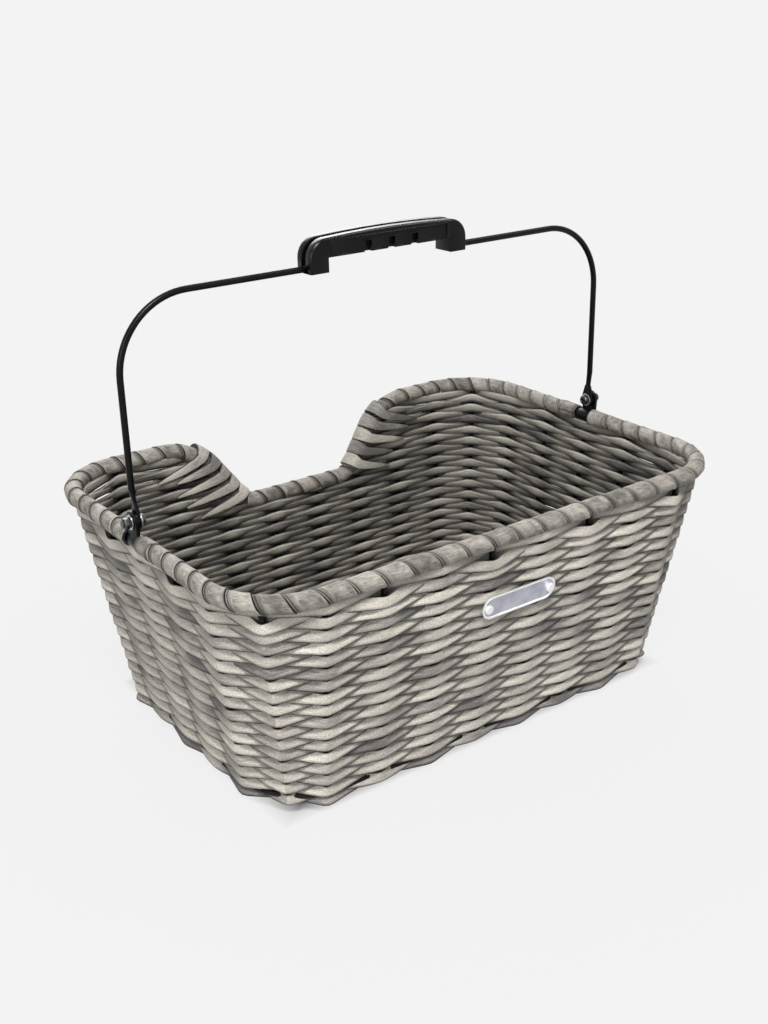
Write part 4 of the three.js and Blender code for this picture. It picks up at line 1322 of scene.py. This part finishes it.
def badge_rivet(settings, side):
    """A low domed rivet head, standing on the plate."""
    base = settings.thickness / 2 - settings.sink
    place = (side * settings.rivet_spacing / 2, 0, base)
    head = add_disc(settings.rivet_width / 2, place, vertices=32)
    start_editing(head)
    extrude(0, 0, settings.rivet_height + settings.sink)
    close_mesh()
    top = base + settings.rivet_height + settings.sink
    select_edges(head, lambda a, b: min(a.z, b.z) > top - SAME_PLACE)
    bpy.ops.mesh.bevel(offset=settings.rivet_height * 0.8, segments=5, profile=0.5, affect="EDGES")
    stop_editing()
    return head


class BASKET_OT_fix_badge(bpy.types.Operator):
    """Make the bare badge, its two rivets and the strip behind the wall"""

    bl_idname = "basket.fix_badge"
    bl_label = "Fix badge"

    def execute(self, context):
        settings = context.scene.basket_badge
        place = badge_frame()
        metal = satin_metal_material("polished_badge_rim", (0.80, 0.80, 0.80), (0.92, 0.92, 0.91))
        field = satin_metal_material("satin_badge_field", (0.38, 0.38, 0.445), (0.52, 0.52, 0.585))
        plate = badge_plate(settings)
        plate.matrix_world = place
        finish_piece(plate, "bare_badge", metal, "basket", "badge_metal", "badge_plate")
        paint_badge_field(plate, field, settings)
        for number, side in enumerate((-1, 1)):
            node = f"badge_rivet_{number + 1}"
            head = badge_rivet(settings, side)
            head.matrix_world = place
            shank = merged_copy(node)
            apply_place(head)
            combine(head, shank, "UNION")
            finish_piece(head, f"domed_rivet_{number + 1}", metal, "basket", "badge_metal", node)
        strip = merged_copy("badge_backing")
        round_edges(strip, settings.edge_rounding)
        zinc = bpy.data.materials["bright_zinc_plate"]
        finish_piece(strip, "rivet_strip", zinc, "basket", "zinc_steel", "badge_backing")
        return {"FINISHED"}


# Rack plate and its fixing


class BASKET_OT_fix_rack_plate(bpy.types.Operator):
    """Round the edges of the rack plate, its clamp strips and screws"""

    bl_idname = "basket.fix_rack_plate"
    bl_label = "Fix rack plate"

    def execute(self, context):
        plastic = bpy.data.materials["black_moulded_plastic"]
        paint = bpy.data.materials["black_powder_coat"]
        zinc = bpy.data.materials["bright_zinc_plate"]
        pieces = {"rack_plate": (plastic, "black_plastic", RACK_PLATE_EDGE)}
        for end in ("left", "right"):
            pieces[f"clamp_strip_{end}"] = (paint, "black_steel", CLAMP_STRIP_EDGE)
        for number in range(1, 5):
            pieces[f"rack_screw_{number}"] = (zinc, "zinc_steel", SCREW_EDGE)
        for node, (material, slot, edge) in pieces.items():
            piece = merged_copy(node)
            round_edges(piece, edge, 3)
            finish_piece(piece, f"finished_{node}", material, "basket", slot, node)
        return {"FINISHED"}


# The weave


def smoothed_path(crossings, places, reach):
    """Points on the line through the crossings, with its bends eased over a reach either side."""
    count = len(crossings)
    total = np.zeros((len(places), crossings.shape[1]))
    for offset, weight in ((-1, 1), (-0.5, 2), (0, 2), (0.5, 2), (1, 1)):
        at = places + offset * reach
        low = np.floor(at).astype(int)
        share = (at - low)[:, None]
        before, after = crossings[low % count], crossings[(low + 1) % count]
        total += weight * (before * (1 - share) + after * share)
    return total / 8


def stake_signs(row):
    """1 for each stake that a row passes on the outside, -1 for each that it passes inside."""
    return np.where((np.arange(STAKE_COUNT) + row) % 2 == 0, 1.0, -1.0)


def values_at_stakes(chance, limits):
    """One random value within limits for each stake."""
    return np.array([chance.uniform(*limits) for _ in range(STAKE_COUNT)])


def strand_frame(crossings, places, reach):
    """A strand's middle line, with its directions up the wall and out of it."""
    centres = smoothed_path(crossings, places, reach)
    before = smoothed_path(crossings, places - 0.02, reach)
    after = smoothed_path(crossings, places + 0.02, reach)
    ahead = unit(after - before)
    ups = unit(stake_points(WALL_HEIGHT) - stake_points(0.0))
    up = unit(smoothed_path(ups, places, reach))
    up = unit(up - ahead * np.sum(up * ahead, axis=1)[:, None])
    return centres, up, np.cross(ahead, up)


def strand_rings(settings, shape, places, chance):
    """Rings of one woven strand: it passes the stakes by turns outside and inside, drops a
    little where it is outside, and leans its upper edge inwards between the stakes."""
    signs = shape["signs"]
    uneven = values_at_stakes(chance, (-1, 1)) * settings.unevenness
    sway = values_at_stakes(chance, SWAY_SPREAD) * settings.sway
    lean_spread = values_at_stakes(chance, LEAN_SPREAD)[:, None]
    width_spread = values_at_stakes(chance, WIDTH_SPREAD)[:, None]
    heights = np.where(signs > 0, shape["outside"], shape["inside"]) + uneven
    crossings = stake_points(heights, signs * sway)
    centres, up, out = strand_frame(crossings, places, settings.bend_reach)
    between_stakes = 1 - np.cos(math.pi * places) ** 4
    lean = shape["stake_roll"] + (shape["middle_roll"] - shape["stake_roll"]) * between_stakes
    lean = lean[:, None] * smoothed_path(lean_spread, places, 0.3)
    across = up * np.cos(lean) - out * np.sin(lean)
    face = out * np.cos(lean) + up * np.sin(lean)
    width = smoothed_path(width_spread, places, 0.4)[:, :, None]
    section = strand_section(settings.strand_width, settings.strand_thickness)
    rings = rings_along(centres, across, face, section, width)
    along = distances_along(centres)
    along = np.append(along, along[-1] + np.linalg.norm(centres[0] - centres[-1]))
    return rings, along, section, crevice_shade(places, signs, section)


def notch_ends(row_height):
    """Where a row meets the notch's slopes, as places counted in stakes, or nothing below it."""
    last_far_stake = FIRST_FAR_STAKE + LONG_SIDE_STAKES - 1
    places = np.linspace(FIRST_FAR_STAKE, last_far_stake, 1401)
    middles = stake_points(row_height)[:, 0]
    across = np.interp(places, np.arange(STAKE_COUNT), middles)
    missing = places[WALL_HEIGHT - notch_dip(across - NOTCH_CENTRE) < row_height]
    if len(missing) == 0:
        return None
    return missing[0], missing[-1]


def wall_rows(settings):
    """Shape of each row, from the foot up. The lowest strand is turned half under, and the
    top one is pressed against the winding of the rim."""
    pitch = (WALL_HEIGHT - settings.top_gap - settings.first_row) / (settings.row_count - 1)
    rows = [
        {
            "signs": stake_signs(1),
            "outside": settings.border_outside,
            "inside": settings.border_inside,
            "stake_roll": settings.border_roll,
            "middle_roll": settings.border_middle_roll,
        }
    ]
    for row in range(settings.row_count):
        height = settings.first_row + row * pitch
        rows.append(
            {
                "signs": stake_signs(row),
                "outside": height - settings.sag,
                "inside": height + settings.sag,
                "stake_roll": settings.stake_roll,
                "middle_roll": settings.middle_roll,
            }
        )
    rows[1]["outside"] -= FIRST_ROW_DROP
    rows[-1]["inside"] = rows[-1]["outside"] + TOP_ROW_RISE
    rows[-2]["outside"] -= settings.stub_gap
    rows[-4]["outside"] -= settings.stub_gap * FOURTH_ROW_SHARE
    rows[-1]["middle_roll"] = settings.top_roll
    return rows


class BASKET_OT_weave_wall(bpy.types.Operator):
    """Weave the wall, one strand to a row, under and over the stakes"""

    bl_idname = "basket.weave_wall"
    bl_label = "Weave wall"

    def execute(self, context):
        settings = context.scene.basket_weave
        material = strand_material("wicker_strand", strand_stops(settings))
        chance = random.Random(11)
        for row, shape in enumerate(wall_rows(settings)):
            ends = notch_ends((shape["outside"] + shape["inside"]) / 2)
            if ends is None:
                places = np.arange(STAKE_COUNT * STEPS_PER_STAKE) / STEPS_PER_STAKE
            else:
                start, end = ends[1], ends[0] + STAKE_COUNT
                places = np.linspace(start, end, round((end - start) * STEPS_PER_STAKE))
            rings, along, section, shade = strand_rings(settings, shape, places, chance)
            around = distances_round(section)
            mesh = swept_mesh(f"wall_strand_{row}", rings, ends is None, along, around)
            tone = chance.triangular(0.15, 0.95, 0.58)
            # The tone is the strand's own colour. The two other values are painted shade: one in its crevices and
            # along its edges, one on its inner face.
            shades = {
                "tone": BORDER_TONES.get(row, tone),
                "painted_crevice_shade": shade,
                "inside": np.tile(inside_shade(section), len(rings)),
            }
            add_strand(mesh, material, shades, "strand", "woven_wall")
        return {"FINISHED"}


def strand_stops(settings):
    return [
        (0.0, tuple(settings.dark_colour)),
        (0.5, tuple(settings.middle_colour)),
        (1.0, tuple(settings.light_colour)),
    ]


# The wound rim


def rim_frame(stations):
    """The rim ring's middle line, with its directions down the wall and out of it."""
    centres = rim_points(stations)
    ahead = unit(np.gradient(centres, axis=0))
    down = unit(wall_points(stations, 0.0) - wall_points(stations, WALL_HEIGHT))
    down = unit(down - ahead * np.sum(down * ahead, axis=1)[:, None])
    return centres, down, np.cross(down, ahead)


def turns_passed(settings, stations, length, part):
    """How many turns a winding has made at each station. The distance from turn to turn grows
    on the near side, and the run ends after whole turns and a part of one."""
    on_near_side = np.clip(1.6 - np.abs((stations + 4) % 8 - 4.5) * 1.6, 0, 1)
    growth = settings.near_side_pitch - settings.short_side_pitch
    pitch = settings.short_side_pitch + growth * on_near_side
    turns = np.concatenate(((0.0,), np.cumsum(np.diff(length) / pitch[1:])))
    return turns * ((round(turns[-1] - part) + part) / turns[-1])


def wound_rings(settings, first, last, start_turn, end_turn):
    """Rings of a strand wound round the rim ring between two stations, in a helix that is
    tighter on the short sides. Each turn lies a little over the one before it, and the first
    and last run square round the rim, over their neighbours. The ends lie at parts of a turn:
    0 outside, 0.25 below, 0.5 inside and 0.75 on top."""
    stations = np.linspace(first, last, 2400)
    centres, down, out = rim_frame(stations)
    length = distances_along(centres)
    passed = turns_passed(settings, stations, length, end_turn - start_turn)
    turns = passed[-1] - 1
    wound = np.linspace(-0.5, 1.5 + turns, round((turns + 2) * STEPS_PER_TURN))
    at_turns = np.clip(wound, 0.5, 0.5 + turns)
    lift = np.abs(wound - at_turns) * WINDING_LIFT
    angles = -2 * math.pi * (wound - 0.5 + start_turn)
    rings = np.zeros((len(at_turns), len(WINDING_PROFILE), 3))
    for number, (across, radius, _) in enumerate(WINDING_PROFILE):
        at = np.interp(at_turns + across, passed, length)
        centre, side, below = (
            np.column_stack([np.interp(at, length, line[:, axis]) for axis in range(3)])
            for line in (centres, out, down)
        )
        spoke = side * np.cos(angles)[:, None] - below * np.sin(angles)[:, None]
        rings[:, number] = centre + spoke * (radius + lift)[:, None]
    width = np.zeros((len(WINDING_PROFILE), 2))
    width[:, 0] = WINDING_PROFILE[:, 0] * settings.near_side_pitch
    along = (wound - 0.5) * 2 * math.pi * WRAP_RADIUS
    # Painted shade along the seams between turns, from the profile's last column.
    painted_shade = np.tile(WINDING_PROFILE[::-1, 2], len(rings))
    return rings[:, ::-1], along, distances_round(width), painted_shade


class BASKET_OT_wind_rim(bpy.types.Operator):
    """Wind a strand round the rim ring, from hinge to hinge on each side"""

    bl_idname = "basket.wind_rim"
    bl_label = "Wind rim"

    def execute(self, context):
        settings = context.scene.basket_rim
        colour = tuple(settings.wrap_colour)
        darker = tuple(channel * 0.45 for channel in colour)
        lighter = tuple(min(channel * 1.5, 1) for channel in colour)
        stops = [(0.0, darker), (0.5, colour), (1.0, lighter)]
        material = strand_material("rim_winding", stops, 0.6)
        side_length = 2 * (RIM_HALF[1] - CORNER_RADIUS)
        runs = {
            "rim_wrap_near": (6.5, 10.5, settings.near_gap, 0.75, 0.75),
            "rim_wrap_far": (2.5, 6.5, settings.far_gap, 0.5, 1.0),
        }
        for node, (first, last, gap, start_turn, end_turn) in runs.items():
            share = gap / side_length
            rings, along, around, shade = wound_rings(
                settings, first + share, last - share, start_turn, end_turn
            )
            mesh = swept_mesh(node.replace("wrap", "winding"), rings, False, along, around)
            # The winding's own tone, painted shade along its seams, and no painted shade on an inner face.
            shades = {"tone": 0.5, "painted_crevice_shade": shade, "inside": 0.0}
            add_strand(mesh, material, shades, "rim_wrap", node)
        return {"FINISHED"}


def loop_path(settings, down, out, away, chance):
    """The middle line of one loop about the rim's middle: up the outside of the wall, over the
    wound rim and down the inside, with its ends drawn out level into the rows of the wall."""
    radius = settings.loop_radius
    leg = settings.loop_leg * chance.uniform(*LOOP_LEG_SPREAD)
    hug = settings.loop_hug
    legs = []
    for share in (1.0, 0.75, 0.5, 0.25):
        level = away * leg * share**LOOP_CURL
        fall = down * leg * LOOP_FALL * share
        legs.append((radius + (hug - radius) * share, fall + level))
    turns = np.linspace(0, math.pi, 17)
    over = [out * radius * math.cos(turn) - down * radius * math.sin(turn) for turn in turns]
    start = [out * across + drop for across, drop in legs]
    end = [-out * across + drop for across, drop in reversed(legs)]
    return np.array(start + over + end)


def loop_rings(settings, section, station, chance):
    """Rings of a flat strand looped over the wound rim, widest on its crown."""
    nearby = rim_points([station - 0.002, station, station + 0.002])
    ahead = unit(nearby[2:] - nearby[:1])[0]
    wall_down = (wall_points(station, 0.0) - wall_points(station, WALL_HEIGHT))[0]
    down = wall_down - ahead * wall_down.dot(ahead)
    down /= np.linalg.norm(down)
    out = np.cross(down, ahead)
    out *= math.copysign(1, out[1])
    away = np.array((math.copysign(1, nearby[1][0] - NOTCH_CENTRE), 0.0, 0.0))
    path = loop_path(settings, down, out, away, chance)
    heading = unit(np.gradient(path, axis=0))
    across = unit(ahead[None, :] - heading * (heading @ ahead)[:, None])
    face = np.cross(across, heading)
    outwards = path @ out
    face *= np.where(face @ out * outwards - face @ down * 0.003 < 0, -1.0, 1.0)[:, None]
    crown = np.sin(np.linspace(0, math.pi, len(path))) ** LOOP_TAPER
    width = (settings.loop_tip + (settings.loop_crown - settings.loop_tip) * crown)[:, None, None]
    return rings_along(nearby[1] + path, across, face, section, width), distances_along(path)


def loop_stations(settings):
    """Stations of the loops on the two slopes of the notch, spread about each slope's middle."""
    stations = np.linspace(4, 5, 2001)
    centres = rim_points(stations)
    length = distances_along(centres)
    across = centres[:, 0] - NOTCH_CENTRE
    places = []
    for side in (-1, 1):
        middle = length[np.argmin(np.abs(across - side * NOTCH_HALF_WIDTH))]
        for number in range(settings.loop_count):
            distance = middle + (number - (settings.loop_count - 1) / 2) * settings.loop_spacing
            places.append(np.interp(distance, length, stations))
    return places


class BASKET_OT_loop_notch(bpy.types.Operator):
    """Loop strands over the wound rim on the slopes of the notch"""

    bl_idname = "basket.loop_notch"
    bl_label = "Loop notch"

    def execute(self, context):
        settings = context.scene.basket_rim
        weave = context.scene.basket_weave
        section = strand_section(weave.strand_width, weave.strand_thickness)
        material = bpy.data.materials["wicker_strand"]
        chance = random.Random(5)
        # Painted shade along both edges of each loop.
        shaded_edge = np.abs(section[:, 0]) > weave.strand_width * 0.43
        around = distances_round(section)
        for number, station in enumerate(loop_stations(settings)):
            rings, along = loop_rings(settings, section, station, chance)
            mesh = swept_mesh(f"notch_loop_{number + 1}", rings, False, along, around)
            shades = {
                "tone": chance.uniform(0.0, 0.6),
                "painted_crevice_shade": np.tile(shaded_edge, len(rings)),
                "inside": 0.0,
            }
            piece = add_strand(mesh, material, shades, "strand")
            start_editing(piece)
            bpy.ops.mesh.normals_make_consistent(inside=False)
            stop_editing()
        return {"FINISHED"}


# The woven floor


def floor_runs(settings):
    """Y and half length of each floor strand, which ends inside the rounded foot ring."""
    half_length, half_width = (edge - FOOT_RING_RADIUS for edge in FOOT_RING_HALF)
    span = 2 * half_width - settings.strand_width
    count = round(span / settings.floor_pitch) + 1
    runs = []
    for number in range(count):
        y = (number - (count - 1) / 2) * span / (count - 1)
        inset = max(abs(y) - (half_width - CORNER_RADIUS), 0)
        reach = half_length - CORNER_RADIUS + math.sqrt(CORNER_RADIUS**2 - inset**2)
        runs.append((y, reach))
    return runs


def floor_path(settings, number, y, reach):
    """The middle line of one floor strand, over and under the cross wires by turns."""
    low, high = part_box("woven_floor")
    wire_xs = (np.arange(LONG_SIDE_STAKES) - (LONG_SIDE_STAKES - 1) / 2) * LONG_SIDE_FOOT_SPACING
    knots = np.concatenate(((-reach,), wire_xs, (reach,)))
    signs = np.array([(-1) ** (index + number) for index in range(len(knots))])
    sides = signs * settings.floor_sway
    sides[0] = sides[-1] = 0.0
    xs = np.linspace(-reach, reach, 110)
    heights = np.interp(xs, knots, sides)
    kernel = np.array((1, 2, 3, 2, 1)) / 9
    heights = np.convolve(np.pad(heights, 2, mode="edge"), kernel, mode="valid")
    return np.column_stack((xs, np.full_like(xs, y), (low.z + high.z) / 2 + heights))


class BASKET_OT_weave_floor(bpy.types.Operator):
    """Weave the floor, with strands along it under and over the cross wires"""

    bl_idname = "basket.weave_floor"
    bl_label = "Weave floor"

    def execute(self, context):
        settings = context.scene.basket_weave
        material = bpy.data.materials["wicker_strand"]
        chance = random.Random(23)
        section = strand_section(settings.strand_width, settings.strand_thickness)
        # Painted shade along both edges of each floor strand.
        painted_shade = np.clip((np.abs(section[:, 0]) / settings.strand_width - 0.42) / 0.06, 0, 1)
        around = distances_round(section)
        for number, (y, reach) in enumerate(floor_runs(settings)):
            centres = floor_path(settings, number, y, reach)
            rings = np.repeat(centres[:, None, :], len(section), axis=1)
            rings[:, :, 1] += section[None, :, 0]
            rings[:, :, 2] += section[None, :, 1]
            name = f"floor_strand_{number + 1}"
            mesh = swept_mesh(name, rings, False, distances_along(centres), around)
            # The tone is the strand's own colour. The two other values are painted shade: along its edges, and
            # evenly over the whole strand.
            shades = {
                "tone": chance.triangular(0.12, 0.95, 0.6),
                "painted_crevice_shade": np.tile(painted_shade, len(centres)),
                "inside": 0.35,
            }
            add_strand(mesh, material, shades, "strand", "woven_floor")
        return {"FINISHED"}


# Shared finishes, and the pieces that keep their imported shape


class BASKET_OT_finish_frame(bpy.types.Operator):
    """Make the black paint, black plastic and zinc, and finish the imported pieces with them"""

    bl_idname = "basket.finish_frame"
    bl_label = "Finish frame"

    def execute(self, context):
        finishes = {
            "black_steel": black_paint_material(),
            "black_plastic": black_plastic_material(),
            "zinc_steel": zinc_material(),
        }
        for subpart in frame["record"]["subparts"]:
            if subpart["material_slot"] in finishes:
                set_material(frame["nodes"][subpart["node"]], finishes[subpart["material_slot"]])
        return {"FINISHED"}


# Camera, floor and light


CAMERA_PLACE = Vector((-0.5317, -0.7310, 0.5167))
CAMERA_AZIMUTH = math.radians(-35.75)
CAMERA_ELEVATION = math.radians(22.57)
CAMERA_ROLL = math.radians(-1.28)
FLOOR_RADIUS = 60

# Lights: place, aim, width, and power as a share of the key light's
LIGHTS = {
    "key_light": ((-0.7, -1.1, 2.1), (0, 0, 0.12), 0.7, 1.0),
    "fill_light": ((-1.6, -0.9, 0.7), (0, 0, 0.12), 0.9, 0.2),
    "edge_light": ((1.15, -0.4, 1.9), (0, 0, 0.3), 0.35, 0.13),
    "back_light": ((0.8, 1.9, 1.2), (0, 0, 0.12), 1.6, 0.5),
}


def add_camera(lens):
    back = Vector(
        (
            math.sin(CAMERA_AZIMUTH) * math.cos(CAMERA_ELEVATION),
            -math.cos(CAMERA_AZIMUTH) * math.cos(CAMERA_ELEVATION),
            math.sin(CAMERA_ELEVATION),
        )
    )
    right = Vector((0, 0, 1)).cross(back).normalized()
    up = back.cross(right)
    cosine, sine = math.cos(CAMERA_ROLL), math.sin(CAMERA_ROLL)
    rolled_right = right * cosine + up * sine
    rolled_up = up * cosine - right * sine
    turn = Matrix((rolled_right, rolled_up, back)).transposed()
    bpy.ops.object.camera_add(location=CAMERA_PLACE, rotation=turn.to_euler())
    camera = bpy.context.object
    camera.name = "photo_camera"
    camera.data.lens = lens
    camera.data.sensor_width = 36
    camera.data.clip_start = 0.01
    bpy.context.scene.camera = camera


def seen_as_backdrop(nodes, links):
    """1 for what the camera sees, straight, in a glossy surface or through a clear one."""
    rays = nodes.new("ShaderNodeLightPath").outputs
    seen = calculate(nodes, links, "MAXIMUM", rays["Is Camera Ray"], rays["Is Glossy Ray"])
    return calculate(nodes, links, "MAXIMUM", seen, rays["Is Transmission Ray"])


def beside_basket(nodes, links, place):
    """0 on the floor under the basket's foot and 1 outside it."""
    parts = nodes.new("ShaderNodeSeparateXYZ")
    links.new(place, parts.inputs[0])
    shares = []
    for axis, half in enumerate(FOOT_HALF):
        distance = calculate(nodes, links, "ABSOLUTE", parts.outputs[axis], 0.0)
        shares.append(calculate(nodes, links, "DIVIDE", distance, half))
    farther = calculate(nodes, links, "MAXIMUM", *shares)
    return spread_range(nodes, links, farther, 0.85, 1.0, 0.0, 1.0)


def floor_plainness(nodes, links):
    """How far the floor hides its shadow: not at all under the basket, almost whole near it
    and whole farther off."""
    place = nodes.new("ShaderNodeTexCoord").outputs["Object"]
    distance = nodes.new("ShaderNodeVectorMath")
    distance.operation = "LENGTH"
    links.new(place, distance.inputs[0])
    plainness = spread_range(nodes, links, distance.outputs["Value"], 0.2, 0.45, 0.93, 1.0)
    beside = beside_basket(nodes, links, place)
    return calculate(nodes, links, "MULTIPLY", plainness, beside)


def add_floor(colour):
    """A pale floor that shows the backdrop's plain colour to the camera. It keeps its whole
    shadow under the basket, and a faint one near it."""
    floor = add_disc(FLOOR_RADIUS, (0, 0, 0), vertices=96)
    floor.name = "studio_floor"
    material, nodes, links, shader = new_material("pale_floor", 0.9)
    shader.inputs["Base Color"].default_value = (0.5, 0.5, 0.5, 1)
    shader.inputs["Specular IOR Level"].default_value = 0.1
    glow = nodes.new("ShaderNodeEmission")
    glow.inputs["Color"].default_value = (*colour, 1)
    plainness = floor_plainness(nodes, links)
    seen = seen_as_backdrop(nodes, links)
    mix = nodes.new("ShaderNodeMixShader")
    links.new(calculate(nodes, links, "MULTIPLY", seen, plainness), mix.inputs["Fac"])
    links.new(shader.outputs["BSDF"], mix.inputs[1])
    links.new(glow.outputs["Emission"], mix.inputs[2])
    links.new(mix.outputs["Shader"], nodes["Material Output"].inputs["Surface"])
    set_material(floor, material)


def light_world(colour, strength):
    world = bpy.data.worlds.new("pale_studio")
    bpy.context.scene.world = world
    world.use_nodes = True
    nodes, links = world.node_tree.nodes, world.node_tree.links
    lit = nodes["Background"]
    lit.inputs["Color"].default_value = (1, 1, 1, 1)
    lit.inputs["Strength"].default_value = strength
    seen = nodes.new("ShaderNodeBackground")
    seen.inputs["Color"].default_value = (*colour, 1)
    mix = nodes.new("ShaderNodeMixShader")
    links.new(seen_as_backdrop(nodes, links), mix.inputs["Fac"])
    links.new(lit.outputs["Background"], mix.inputs[1])
    links.new(seen.outputs["Background"], mix.inputs[2])
    links.new(mix.outputs["Shader"], nodes["World Output"].inputs["Surface"])


def add_light(name, place, target, size, energy):
    bpy.ops.object.light_add(type="AREA", location=place)
    light = bpy.context.object
    light.name = name
    light.data.shape = "DISK"
    light.data.size = size
    light.data.energy = energy
    aim = Vector(target) - Vector(place)
    light.rotation_euler = aim.to_track_quat("-Z", "Y").to_euler()


class BASKET_OT_set_stage(bpy.types.Operator):
    """Set the camera, the pale floor and the soft light"""

    bl_idname = "basket.set_stage"
    bl_label = "Set stage"

    def execute(self, context):
        settings = context.scene.basket_stage
        colour = tuple(settings.backdrop_colour)
        add_camera(settings.lens)
        add_floor(colour)
        light_world(colour, settings.world_strength)
        for name, (place, target, width, share) in LIGHTS.items():
            add_light(name, place, target, width, settings.key_energy * share)
        context.scene.view_settings.view_transform = "Standard"
        return {"FINISHED"}


class BASKET_PT_pieces(bpy.types.Panel):
    """Lists the steps that build the basket, and its sizes and colours"""

    bl_idname = "BASKET_PT_pieces"
    bl_label = "Basket"
    bl_space_type = "VIEW_3D"
    bl_region_type = "UI"
    bl_category = "Basket"

    def draw(self, context):
        for operator in OPERATORS:
            self.layout.operator(operator.bl_idname)
        for name, group in SETTINGS.items():
            box = self.layout.box()
            for setting in group.__annotations__:
                box.prop(getattr(context.scene, name), setting)


OPERATORS = [
    BASKET_OT_set_stage,
    BASKET_OT_finish_frame,
    BASKET_OT_weave_wall,
    BASKET_OT_weave_floor,
    BASKET_OT_wind_rim,
    BASKET_OT_loop_notch,
    BASKET_OT_bend_handle,
    BASKET_OT_mould_grip,
    BASKET_OT_fit_hinges,
    BASKET_OT_fix_badge,
    BASKET_OT_fix_rack_plate,
]


def register():
    for name, group in SETTINGS.items():
        bpy.utils.register_class(group)
        setattr(bpy.types.Scene, name, bpy.props.PointerProperty(type=group))
    for operator in OPERATORS:
        bpy.utils.register_class(operator)
    bpy.utils.register_class(BASKET_PT_pieces)


def unregister():
    bpy.utils.unregister_class(BASKET_PT_pieces)
    for operator in reversed(OPERATORS):
        bpy.utils.unregister_class(operator)
    for name, group in SETTINGS.items():
        delattr(bpy.types.Scene, name)
        bpy.utils.unregister_class(group)


def main():
    register()
    for operator in OPERATORS:
        _, action = operator.bl_idname.split(".")
        getattr(bpy.ops.basket, action)()


if __name__ == "__main__":
    main()
